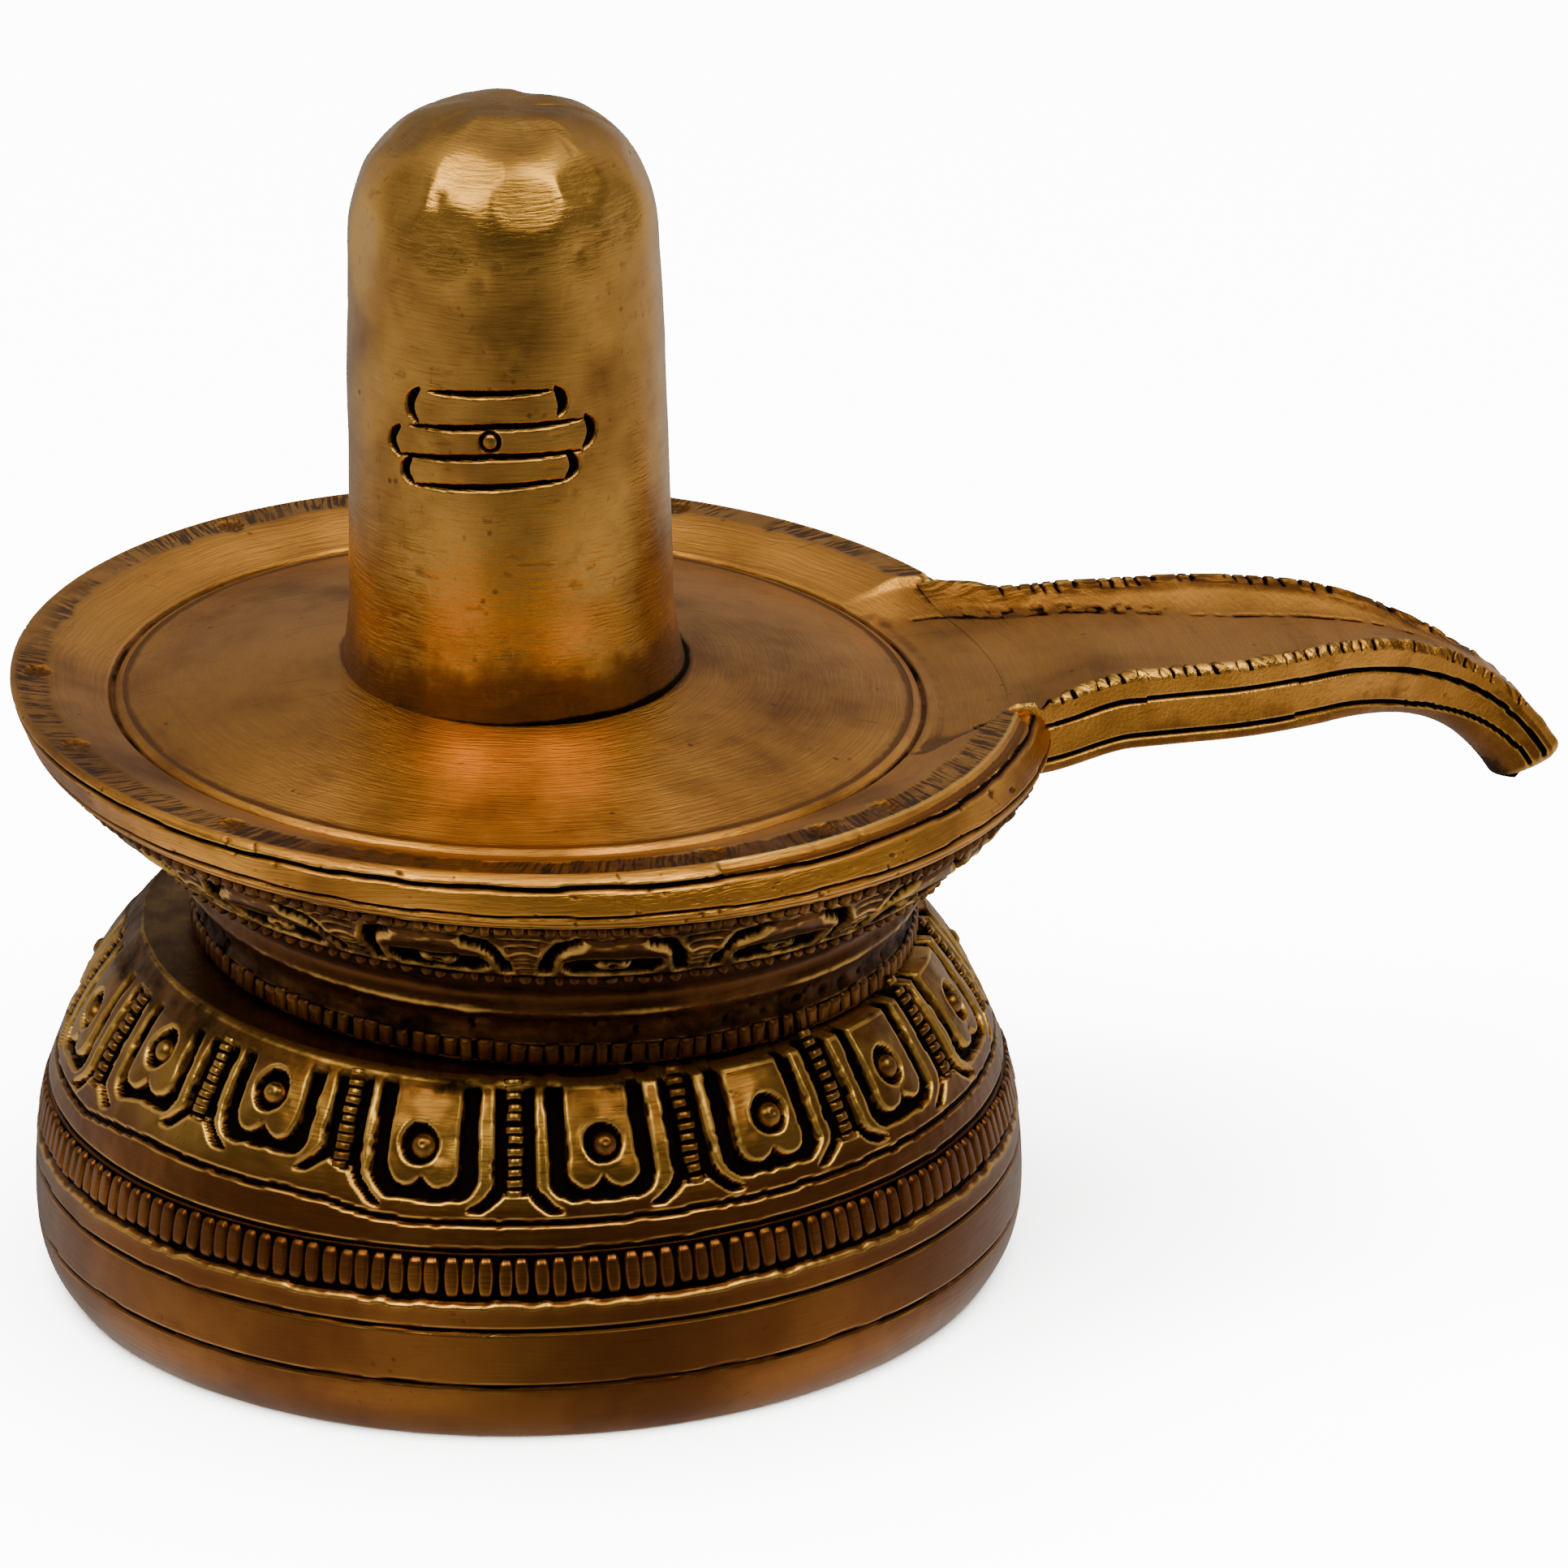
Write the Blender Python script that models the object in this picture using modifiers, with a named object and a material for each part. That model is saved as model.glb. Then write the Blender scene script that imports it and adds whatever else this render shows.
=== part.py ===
"""A brass shiva lingam for a home altar, cast and chased, in three pieces.

The shaft stands in a shallow seat in the dish. The dish has a spout, a carved neck and a
notched foot ring, and its foot rests on a domed base with lotus petals. The dish leans a
little, and its rim isn't quite over its foot. Metres, +Z up. The origin is on the base's
axis, on the surface that it stands on. The spout runs along +X.
"""

import math

import bmesh
import bpy
from mathutils import Vector

MM = 0.001
CLEARANCE = 0.3 * MM  # between two pieces that rest on each other
STEPS_ROUND = 48  # flat sides on the dish and the base
STEPS_SHAFT = 36

# The lotus base.
BASE_FOOT_RADIUS = 39.4 * MM
BASE_BELLY_RADIUS = 41.5 * MM
BASE_BELLY_HEIGHT = 7.0 * MM
BASE_SHOULDER_RADIUS = 32.9 * MM
BASE_HEIGHT = 29.4 * MM
BASE_FOOT_CURVE = 3.0  # how late the wall turns in towards its lowest edge
BASE_DOME_CURVE = 2.2
LINE_HEIGHTS = (5.3 * MM, 10.2 * MM)  # the two turned lines round the plain foot
RIDGE_BAND = (13.0 * MM, 15.9 * MM)
PETAL_LINE_HEIGHT = 18.9 * MM
LINE_WIDTH = 0.8 * MM
LINE_DEPTH = 0.5 * MM
RIDGE_COUNT = 96
RIDGE_GAP_WIDTH = 0.9 * MM
RIDGE_GAP_DEPTH = 0.5 * MM

# One lotus petal. Sizes across are at the middle of its height.
PETAL_COUNT = 16
PETAL_BOTTOM_HEIGHT = 20.7 * MM
PETAL_TOP_HEIGHT = 28.3 * MM
TONGUE_WIDTH = 5.4 * MM
PETAL_GROOVE_WIDTH = 1.4 * MM
PETAL_GROOVE_DEPTH = 0.9 * MM
STRIP_WIDTH = 1.1 * MM
STRIP_TAIL = 2.0 * MM  # how far the strip's grooves turn outwards at the bottom
TONGUE_NICK = 1.1 * MM
RING_DOT_HEIGHT = 24.9 * MM
RING_DOT_RADIUS = 0.95 * MM

# The dish and its neck, as they are before they lean.
FOOT_RING_RADIUS = 30.4 * MM
FOOT_RING_HEIGHT = 1.7 * MM
FOOT_NOTCH_COUNT = 48
NECK_RADIUS = 30.0 * MM
NECK_RIDGE_RADIUS = 31.1 * MM
NECK_RIDGE_RISE = 5.0 * MM  # from the foot's underside
COVE_RISE = 6.3 * MM
LOWER_BEADS_RADIUS = 34.1 * MM
LOWER_BEADS_RISE = 9.2 * MM
SCROLL_BOTTOM_RADIUS = 35.1 * MM
SCROLL_BOTTOM_RISE = 10.0 * MM
SCROLL_TOP_RISE = 15.8 * MM
RIM_RADIUS = 41.9 * MM
UPPER_BEADS_INSET = 0.5 * MM  # from the rim's radius
SCROLL_TOP_INSET = 1.5 * MM
RIM_RISE = 21.4 * MM
RIM_WALL = 4.2 * MM
RIM_BULGE = 0.8 * MM  # of the wall, half-way down
RIM_LINES = (0.9 * MM, 3.1 * MM)  # below the rim
RIM_WIDTH = 3.4 * MM
RIM_SLOPE_WIDTH = 4.9 * MM  # from the rim's flat top in to the floor's ring
DISH_DEPTH = 1.9 * MM
DISH_CROWN = 3.5 * MM  # how far the floor rises from its ring to the shaft
SCROLL_COUNT = 14

# The dish's lean, as slopes along +X and +Y, and where its foot and its rim are centred.
LEAN = (math.tan(math.radians(-2.0)), math.tan(math.radians(1.76)))
FOOT_CENTRE = (2.5 * MM, -0.8 * MM)
RIM_CENTRE = (0.1 * MM, 0.75 * MM)
SHIFT_CURVE = 6  # the shift from one to the other is nearly all in the dish's wall

# The spout, from the dish's rim along the top of its wall.
SPOUT_DROP = 0.5 * MM  # of its level part, below the rim's height on the axis
SPOUT_THICKNESS = 5.3 * MM
SPOUT_LEVEL_RUN = (-3.9 * MM, 8.1 * MM)  # between these it turns level from the rim's lean
SPOUT_LINES = (2.2 * MM, 4.0 * MM)  # below its edge
SPOUT_HALF_WIDTH = 13.0 * MM
SPOUT_TIP_HALF_WIDTH = 3.2 * MM
SPOUT_ROOT_FLARE = 3.6 * MM
SPOUT_FLARE_LENGTH = 2.8 * MM
SPOUT_TAPER = (15.1 * MM, 44.6 * MM)
SPOUT_BEND_START = 24.9 * MM
SPOUT_BEND_RADIUS = 24.5 * MM
SPOUT_BEND_ANGLE = math.radians(60)
SPOUT_LIP = 1.9 * MM
SPOUT_WALL_SLOPE = 1.5 * MM
CHANNEL_END = 35.1 * MM
CHANNEL_FADE = 9.0 * MM
MOUTH_FLARE = 8.0 * MM
MOUTH_FLARE_LENGTH = 4.0 * MM

# The shaft.
SHAFT_OFFSET = -0.4 * MM  # of its axis along X
SHAFT_FOOT_RADIUS = 14.4 * MM
SHAFT_RADIUS = 13.4 * MM
SHAFT_TOP_RADIUS = 12.8 * MM
SHAFT_HEIGHT = 49.3 * MM  # above its seat
SHAFT_FOOT_FLARE = 8.0 * MM
DOME_HEIGHT = 12.8 * MM
DOME_SQUARENESS = 2.5
SEAT_DEPTH = 0.3 * MM  # below the floor at its lowest side
SEAT_WIDTH = 1.0 * MM  # the flat part of the floor round the shaft

# The mark on the shaft: three bands one above another, with a ringed dot.
MARK_ANGLE = math.radians(-106)
MARK_RISE = 24.3 * MM  # from the seat to the middle band
MARK_BAND_HEIGHT = 2.75 * MM
MARK_BAND_WIDTHS = (9.6 * MM, 15.0 * MM, 11.4 * MM)  # from the top band down
MARK_GROOVE_WIDTH = 0.8 * MM
MARK_GROOVE_DEPTH = 0.45 * MM
MARK_DOT_RADIUS = 0.75 * MM

FOOT_HEIGHT = BASE_HEIGHT + CLEARANCE
RIM_HEIGHT = FOOT_HEIGHT + RIM_RISE
SPOUT_HEIGHT = RIM_HEIGHT - SPOUT_DROP
UPPER_BEADS_RADIUS = RIM_RADIUS - UPPER_BEADS_INSET
SCROLL_TOP_RADIUS = RIM_RADIUS - SCROLL_TOP_INSET
DISH_RING_RADIUS = RIM_RADIUS - RIM_WIDTH - RIM_SLOPE_WIDTH
CROWN_HEIGHT = RIM_HEIGHT - DISH_DEPTH + DISH_CROWN
SEAT_RADIUS = SHAFT_FOOT_RADIUS + CLEARANCE
SEAT_HEIGHT = CROWN_HEIGHT - SEAT_RADIUS * math.hypot(*LEAN) - SEAT_DEPTH
SHAFT_BOTTOM = SEAT_HEIGHT + CLEARANCE
SPOUT_BEND_RUN = RIM_RADIUS + SPOUT_BEND_START
SPOUT_RUN_END = SPOUT_BEND_RUN + SPOUT_BEND_RADIUS * SPOUT_BEND_ANGLE
SPOUT_TAPER_RUN = RIM_RADIUS + SPOUT_TAPER[0]
CHANNEL_RUN_END = RIM_RADIUS + CHANNEL_END


def clear_scene():
    for item in list(bpy.data.objects):
        bpy.data.objects.remove(item, do_unlink=True)


def new_collection(name):
    collection = bpy.data.collections.new(name)
    bpy.context.scene.collection.children.link(collection)
    return collection


def brass(name, color, roughness):
    material = bpy.data.materials.new(name)
    material.use_nodes = True
    shader = material.node_tree.nodes["Principled BSDF"]
    shader.inputs["Base Color"].default_value = (*color, 1.0)
    shader.inputs["Metallic"].default_value = 1.0
    shader.inputs["Roughness"].default_value = roughness
    return material


def mesh_object(name, shape, collection):
    """A bmesh made into an object, with its faces turned outwards."""
    bmesh.ops.recalc_face_normals(shape, faces=shape.faces)
    mesh = bpy.data.meshes.new(name)
    shape.to_mesh(mesh)
    shape.free()
    item = bpy.data.objects.new(name, mesh)
    collection.objects.link(item)
    return item


def turned(name, profile, steps, material, collection):
    """A turned solid. The profile holds (radius, height) pairs from the top axis point down."""
    shape = bmesh.new()
    points = [shape.verts.new((radius, 0, height)) for radius, height in profile]
    for upper, lower in zip(points, points[1:]):
        shape.edges.new((upper, lower))
    mesh = bpy.data.meshes.new(name)
    shape.to_mesh(mesh)
    shape.free()
    item = bpy.data.objects.new(name, mesh)
    item.data.materials.append(material)
    collection.objects.link(item)
    spin = item.modifiers.new("turn", "SCREW")
    spin.axis = "Z"
    spin.steps = steps
    spin.render_steps = steps
    spin.use_merge_vertices = True
    spin.merge_threshold = 0.01 * MM
    return item


def cut(item, cutter, operation="DIFFERENCE"):
    cutter.hide_render = True
    cutter.display_type = "WIRE"
    step = item.modifiers.new(cutter.name, "BOOLEAN")
    step.operation = operation
    step.object = cutter


def loft(shape, sections, closed=False):
    """Joins rings of as many points each by side faces, with an end cap on an open run."""
    rings = [[shape.verts.new(point) for point in section] for section in sections]
    pairs = list(zip(rings, rings[1:]))
    if closed:
        pairs.append((rings[-1], rings[0]))
    for near, far in pairs:
        for i in range(len(near)):
            j = (i + 1) % len(near)
            shape.faces.new((near[i], near[j], far[j], far[i]))
    if not closed:
        shape.faces.new(rings[0])
        shape.faces.new(rings[-1])


def skin_frame(radius_at, angle, height):
    """A turned surface's point, its sideways, upward and outward directions there."""
    step = 0.05 * MM
    slope = (radius_at(height + step) - radius_at(height - step)) / (2 * step)
    ray = Vector((math.cos(angle), math.sin(angle), 0))
    side = Vector((-math.sin(angle), math.cos(angle), 0))
    up = (ray * slope + Vector((0, 0, 1))).normalized()
    return ray * radius_at(height) + Vector((0, 0, height)), side, up, side.cross(up)


def chase(shape, radius_at, path, width, depth, closed=False):
    """A V-shaped groove's cutter along a path of (angle, height) pairs on a turned surface."""
    frames = [skin_frame(radius_at, angle, height) for angle, height in path]
    count = len(path)
    rise = 0.6 * depth  # how far the cutter stands clear of the surface
    half = 0.5 * width * (depth + rise) / depth
    sections = []
    for i, (point, _, _, out) in enumerate(frames):
        before = frames[(i - 1) % count if closed else max(i - 1, 0)][0]
        after = frames[(i + 1) % count if closed else min(i + 1, count - 1)][0]
        across = out.cross(after - before).normalized()
        top = point + out * rise
        sections.append((top - across * half, top + across * half, point - out * depth))
    loft(shape, sections, closed)


def ring_path(radius_at, angle, height, radius, sides=6):
    """A small circle on a turned surface, as (angle, height) pairs."""
    turns = [2 * math.pi * (i + 0.5) / sides for i in range(sides)]
    there = radius_at(height)
    return [(angle + radius * math.cos(t) / there, height + radius * math.sin(t)) for t in turns]


def base_radius(height):
    """The base's outer wall: a tight turn down to the foot, a slow one up to the shoulder."""
    if height < BASE_BELLY_HEIGHT:
        share = (BASE_BELLY_HEIGHT - height) / BASE_BELLY_HEIGHT
        return BASE_BELLY_RADIUS - (BASE_BELLY_RADIUS - BASE_FOOT_RADIUS) * share**BASE_FOOT_CURVE
    share = (height - BASE_BELLY_HEIGHT) / (BASE_HEIGHT - BASE_BELLY_HEIGHT)
    return BASE_BELLY_RADIUS - (BASE_BELLY_RADIUS - BASE_SHOULDER_RADIUS) * share**BASE_DOME_CURVE


def turned_line(radius_at, height):
    """Three profile points of a turned line, from its upper edge down."""
    half = LINE_WIDTH / 2
    upper, lower = height + half, height - half
    return [(radius_at(upper), upper), (radius_at(height) - LINE_DEPTH, height), (radius_at(lower), lower)]


def petal_groove(middle):
    """The wide groove round one petal's tongue, which nicks up into it at the bottom."""
    half = (TONGUE_WIDTH + PETAL_GROOVE_WIDTH) / 2
    low = PETAL_BOTTOM_HEIGHT + PETAL_GROOVE_WIDTH / 2
    high = PETAL_TOP_HEIGHT
    outline = [
        (0.86 * half, high),
        (half, low + 0.2 * (high - low)),
        (0.55 * half, low),
        (0.0, low + 0.5 * TONGUE_NICK),
    ]
    mirrored = [(-across, height) for across, height in outline[-2::-1]]
    return [(middle + across / base_radius(RING_DOT_HEIGHT), height) for across, height in outline + mirrored]


def strip_groove(middle, side):
    """One of the two grooves that flank the strip between petals. Its foot turns outwards."""
    near = (STRIP_WIDTH + PETAL_GROOVE_WIDTH) / 2
    low = PETAL_BOTTOM_HEIGHT
    outline = [
        (near * 0.85, PETAL_TOP_HEIGHT),
        (near, low + 0.2 * (PETAL_TOP_HEIGHT - low)),
        (near + STRIP_TAIL, low - 0.5 * MM),
    ]
    return [(middle + side * across / base_radius(RING_DOT_HEIGHT), height) for across, height in outline]


def leaning_cut(cutters):
    """A slab whose underside is the leaning joint between the base and the dish."""
    reach = 1.2 * BASE_BELLY_RADIUS
    corners = [(-reach, -reach), (reach, -reach), (reach, reach), (-reach, reach)]
    shape = bmesh.new()
    lower = [Vector((x, y, BASE_HEIGHT + LEAN[0] * x + LEAN[1] * y)) for x, y in corners]
    loft(shape, [lower, [corner + Vector((0, 0, reach)) for corner in lower]])
    return mesh_object("top_cutter", shape, cutters)


def make_lotus_base(parts, cutters, material):
    top = BASE_HEIGHT + 1.1 * BASE_SHOULDER_RADIUS * math.hypot(*LEAN)
    profile = [(0, top), (base_radius(top), top)]
    petal_height = PETAL_TOP_HEIGHT - PETAL_LINE_HEIGHT
    for share in (1.05, 0.6):
        height = PETAL_LINE_HEIGHT + share * petal_height
        profile.append((base_radius(height), height))
    profile += turned_line(base_radius, PETAL_LINE_HEIGHT)
    for edge in reversed(RIDGE_BAND):
        profile += turned_line(base_radius, edge)
    for height in reversed(LINE_HEIGHTS):
        profile += turned_line(base_radius, height)
    for height in (BASE_BELLY_HEIGHT * 0.35, 0):
        profile.append((base_radius(height), height))
    profile.append((0, 0))
    base = turned("lotus_base", profile, STEPS_ROUND, material, parts)

    carving = bmesh.new()
    pitch = 2 * math.pi / PETAL_COUNT
    for index in range(PETAL_COUNT):
        middle = index * pitch
        chase(carving, base_radius, petal_groove(middle), PETAL_GROOVE_WIDTH, PETAL_GROOVE_DEPTH)
        dot = ring_path(base_radius, middle, RING_DOT_HEIGHT, RING_DOT_RADIUS)
        chase(carving, base_radius, dot, RING_DOT_RADIUS * 0.9, PETAL_GROOVE_DEPTH / 2, closed=True)
        for side in (-1, 1):
            groove = strip_groove(middle + pitch / 2, side)
            chase(carving, base_radius, groove, PETAL_GROOVE_WIDTH * 0.8, PETAL_GROOVE_DEPTH)
    for index in range(RIDGE_COUNT):
        angle = 2 * math.pi * (index + 0.5) / RIDGE_COUNT
        low, high = RIDGE_BAND
        path = [(angle, low + LINE_WIDTH), (angle, high - LINE_WIDTH)]
        chase(carving, base_radius, path, RIDGE_GAP_WIDTH, RIDGE_GAP_DEPTH)
    cut(base, leaning_cut(cutters))
    cut(base, mesh_object("carving_cutter", carving, cutters))
    return base


def settle(point):
    """Moves a point of the upright dish to where the leaning, slightly skewed casting has it."""
    across = Vector((1, 0, LEAN[0])).normalized()
    along = Vector((0, 1, LEAN[1])).normalized()
    rise = point.z - FOOT_HEIGHT
    inside = rise > RIM_RISE - RIM_WALL and math.hypot(point.x, point.y) < RIM_RADIUS - RIM_WIDTH
    share = 1.0 if inside else min(max(rise / RIM_RISE, 0.0), 1.0) ** SHIFT_CURVE
    x, y = (foot + (rim - foot) * share for foot, rim in zip(FOOT_CENTRE, RIM_CENTRE))
    centre = Vector((x, y, FOOT_HEIGHT + rise + LEAN[0] * x + LEAN[1] * y))
    return centre + across * point.x + along * point.y


def settled(shape):
    for vert in shape.verts:
        vert.co = settle(vert.co)
    return shape


def scroll_radius(height):
    """The cone that carries the scroll band, between the neck and the dish."""
    share = (height - FOOT_HEIGHT - SCROLL_BOTTOM_RISE) / (SCROLL_TOP_RISE - SCROLL_BOTTOM_RISE)
    return SCROLL_BOTTOM_RADIUS + share * (SCROLL_TOP_RADIUS - SCROLL_BOTTOM_RADIUS)


def rim_radius(height):
    """The dish's outer wall, which swells a little between its lower corner and the rim."""
    share = (RIM_HEIGHT - height) / RIM_WALL
    return RIM_RADIUS + 4 * RIM_BULGE * share * (1 - share)


def floor_height(radius):
    """The crowned floor, from the shaft's seat out to its ring."""
    share = (radius - SEAT_RADIUS) / (DISH_RING_RADIUS - SEAT_RADIUS)
    return CROWN_HEIGHT - DISH_CROWN * (0.6 * share + 0.4 * share**2)


def dish_profile():
    flat = SEAT_RADIUS + SEAT_WIDTH
    profile = [(flat, floor_height(SEAT_RADIUS))]
    middle = (SEAT_RADIUS + DISH_RING_RADIUS) / 2
    profile.append((middle, floor_height(middle)))
    ring_height = floor_height(DISH_RING_RADIUS)
    half = LINE_WIDTH / 2
    profile.append((DISH_RING_RADIUS - half, ring_height))
    profile.append((DISH_RING_RADIUS, ring_height - LINE_DEPTH))
    profile.append((DISH_RING_RADIUS + half, ring_height))
    inner = RIM_RADIUS - RIM_WIDTH
    slope = inner - DISH_RING_RADIUS
    profile.append((DISH_RING_RADIUS + 0.6 * slope, ring_height + 0.35 * DISH_DEPTH))
    profile.append((inner, RIM_HEIGHT - 0.1 * DISH_DEPTH))
    profile += [(inner + 0.3 * RIM_WIDTH, RIM_HEIGHT), (RIM_RADIUS - 0.4 * MM, RIM_HEIGHT)]
    return profile


def neck_profile():
    profile = [(rim_radius(RIM_HEIGHT - 0.4 * MM), RIM_HEIGHT - 0.4 * MM)]
    for depth in RIM_LINES:
        profile += turned_line(rim_radius, RIM_HEIGHT - depth)
    corner = RIM_HEIGHT - RIM_WALL
    scroll_top = FOOT_HEIGHT + SCROLL_TOP_RISE
    profile.append((rim_radius(corner), corner))
    profile.append((UPPER_BEADS_RADIUS, (corner + scroll_top) / 2 + 0.1 * MM))
    profile.append((SCROLL_TOP_RADIUS, scroll_top))
    for radius, rise in (
        (SCROLL_BOTTOM_RADIUS, SCROLL_BOTTOM_RISE),
        (LOWER_BEADS_RADIUS, LOWER_BEADS_RISE),
        (NECK_RADIUS, COVE_RISE),
        (NECK_RIDGE_RADIUS, NECK_RIDGE_RISE),
        (NECK_RADIUS, (NECK_RIDGE_RISE + FOOT_RING_HEIGHT) / 2),
        (FOOT_RING_RADIUS, FOOT_RING_HEIGHT),
        (FOOT_RING_RADIUS, 0),
    ):
        profile.append((radius, FOOT_HEIGHT + rise))
    return profile


def smooth(share):
    share = min(max(share, 0.0), 1.0)
    return share * share * (3 - 2 * share)


def spout_half_width(run):
    taper = smooth((run - SPOUT_TAPER_RUN) / (SPOUT_TAPER[1] - SPOUT_TAPER[0]))
    flare = SPOUT_ROOT_FLARE * math.exp(-max(run - RIM_RADIUS, 0.0) / SPOUT_FLARE_LENGTH)
    return SPOUT_HALF_WIDTH + (SPOUT_TIP_HALF_WIDTH - SPOUT_HALF_WIDTH) * taper + flare


def spout_frame(run):
    """The middle of the spout's top edges at this run from the axis, the ways across and down."""
    turn = max(run - SPOUT_BEND_RUN, 0.0) / SPOUT_BEND_RADIUS
    ahead = min(run, SPOUT_BEND_RUN) + SPOUT_BEND_RADIUS * math.sin(turn)
    drop = SPOUT_BEND_RADIUS * (1 - math.cos(turn))
    start, end = SPOUT_LEVEL_RUN
    level = smooth((run - RIM_RADIUS - start) / (end - start))
    leaning = RIM_HEIGHT + LEAN[0] * ahead
    height = leaning + (SPOUT_HEIGHT - leaning) * level - drop
    across = Vector((0, 1, LEAN[1] * (1 - level)))
    return Vector((ahead, 0, height)), across, Vector((-math.sin(turn), 0, -math.cos(turn)))


def spout_section(run, edges):
    """A ring of points across the spout, from (across, depth) pairs."""
    middle, side, down = spout_frame(run)
    return [middle + side * across + down * depth for across, depth in edges]


def spout_body():
    start = DISH_RING_RADIUS + RIM_WIDTH
    runs = [start, RIM_RADIUS, RIM_RADIUS + SPOUT_FLARE_LENGTH, RIM_RADIUS + SPOUT_LEVEL_RUN[1]]
    bends = 7
    for index in range(bends + 1):
        runs.append(SPOUT_TAPER_RUN + (SPOUT_RUN_END - SPOUT_TAPER_RUN) * index / bends)
    sections = []
    for run in runs:
        half = spout_half_width(run)
        # The underside rounds off towards the tip.
        towards_tip = smooth((run - SPOUT_TAPER_RUN) / (SPOUT_RUN_END - SPOUT_TAPER_RUN))
        round_off = 0.4 * MM + 1.2 * MM * towards_tip
        thick = SPOUT_THICKNESS
        thick -= 0.6 * MM * smooth((run - SPOUT_BEND_RUN) / (SPOUT_RUN_END - SPOUT_BEND_RUN))
        right = [(half - 0.3 * MM, 0), (half, 0.4 * MM), (half, thick - round_off), (half - round_off, thick)]
        sections.append(spout_section(run, right + [(-across, depth) for across, depth in reversed(right)]))
    tip = SPOUT_TIP_HALF_WIDTH * 0.7
    blunt = [(tip, share * SPOUT_THICKNESS) for share in (0.12, 0.4, 0.6, 0.8)]
    blunt += [(-across, depth) for across, depth in reversed(blunt)]
    sections.append(spout_section(SPOUT_RUN_END + 0.9 * MM, blunt))
    shape = bmesh.new()
    loft(shape, sections)
    return shape


def spout_channel():
    above = MM
    steps = 9
    start = DISH_RING_RADIUS
    sections = []
    for index in range(steps + 1):
        run = start + (CHANNEL_RUN_END - start) * (index / steps)
        depth = DISH_DEPTH * min(1.0, (CHANNEL_RUN_END - run) / CHANNEL_FADE + 0.05)
        mouth = MOUTH_FLARE * math.exp(-(run - start) / MOUTH_FLARE_LENGTH)
        half = SPOUT_HALF_WIDTH - (SPOUT_HALF_WIDTH - spout_half_width(run)) * (run > RIM_RADIUS) + mouth
        slope = SPOUT_WALL_SLOPE * depth / DISH_DEPTH
        top = half - SPOUT_LIP + slope * above / depth * 0.2
        low = half - SPOUT_LIP - slope
        sections.append(spout_section(run, [(top, -above), (low, depth), (-low, depth), (-top, -above)]))
    shape = bmesh.new()
    loft(shape, sections)
    return shape


def spout_lines():
    """The two lines along each side of the spout, as slim wedges that cut in from outside."""
    shape = bmesh.new()
    start = RIM_RADIUS + 1.5 * MM
    steps = 6
    for side in (-1, 1):
        for depth in SPOUT_LINES:
            sections = []
            for index in range(steps + 1):
                run = start + (SPOUT_RUN_END - MM - start) * index / steps
                half = spout_half_width(run)
                outer = half + MM
                edges = [(outer, depth - LINE_WIDTH), (outer, depth + LINE_WIDTH), (half - LINE_DEPTH, depth)]
                sections.append(spout_section(run, [(side * across, drop) for across, drop in edges]))
            loft(shape, sections)
    return shape


def punch(shape, angle, height, half_width, half_height, depth):
    """A hollow with a lozenge outline, punched into the scroll band."""
    point, side, up, out = skin_frame(scroll_radius, angle, height)
    directions = (side * half_width, up * half_height, -side * half_width, -up * half_height)
    verts = [shape.verts.new(point + out * depth * 0.5 + direction) for direction in directions]
    apex = shape.verts.new(point - out * depth)
    shape.faces.new(verts)
    for near, far in zip(verts, verts[1:] + verts[:1]):
        shape.faces.new((near, far, apex))


def scroll_hollows():
    """Two hollows beside each fan of the scroll band, and a long one under each leaf."""
    shape = bmesh.new()
    middle = FOOT_HEIGHT + (SCROLL_BOTTOM_RISE + SCROLL_TOP_RISE) / 2
    pitch = 2 * math.pi / SCROLL_COUNT
    fan_start = math.radians(-98.9)
    for index in range(SCROLL_COUNT):
        fan = fan_start + index * pitch
        for side in (-1, 1):
            punch(shape, fan + side * 0.15 * pitch, middle, 1.0 * MM, 2.1 * MM, 0.9 * MM)
        punch(shape, fan + pitch / 2, middle - 0.7 * MM, 3.0 * MM, 1.0 * MM, 0.7 * MM)
    return shape


def foot_notches():
    """The notches round the foot ring."""
    shape = bmesh.new()

    def ring_radius(height):
        return FOOT_RING_RADIUS

    for index in range(FOOT_NOTCH_COUNT):
        angle = 2 * math.pi * (index + 0.5) / FOOT_NOTCH_COUNT
        low = FOOT_HEIGHT - 0.2 * MM
        path = [(angle, low), (angle, FOOT_HEIGHT + FOOT_RING_HEIGHT + 0.2 * MM)]
        chase(shape, ring_radius, path, 0.9 * MM, 0.6 * MM)
    return shape


def dish_body():
    """The dish and its neck without the spout, ring below ring."""
    shape = bmesh.new()
    turns = [2 * math.pi * step / STEPS_ROUND for step in range(STEPS_ROUND)]
    sections = []
    for radius, height in dish_profile() + neck_profile():
        sections.append([Vector((radius * math.cos(t), radius * math.sin(t), height)) for t in turns])
    loft(shape, sections)
    return settled(shape)


def shaft_seat():
    """The upright hole that the shaft stands in, in the leaning floor."""
    shape = bmesh.new()
    top = CROWN_HEIGHT + 2 * MM
    turns = [2 * math.pi * step / STEPS_SHAFT for step in range(STEPS_SHAFT)]
    rings = []
    for height in (top, SEAT_HEIGHT):
        ring = [(SHAFT_OFFSET + SEAT_RADIUS * math.cos(t), SEAT_RADIUS * math.sin(t)) for t in turns]
        rings.append([Vector((x, y, height)) for x, y in ring])
    loft(shape, rings)
    return shape


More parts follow.
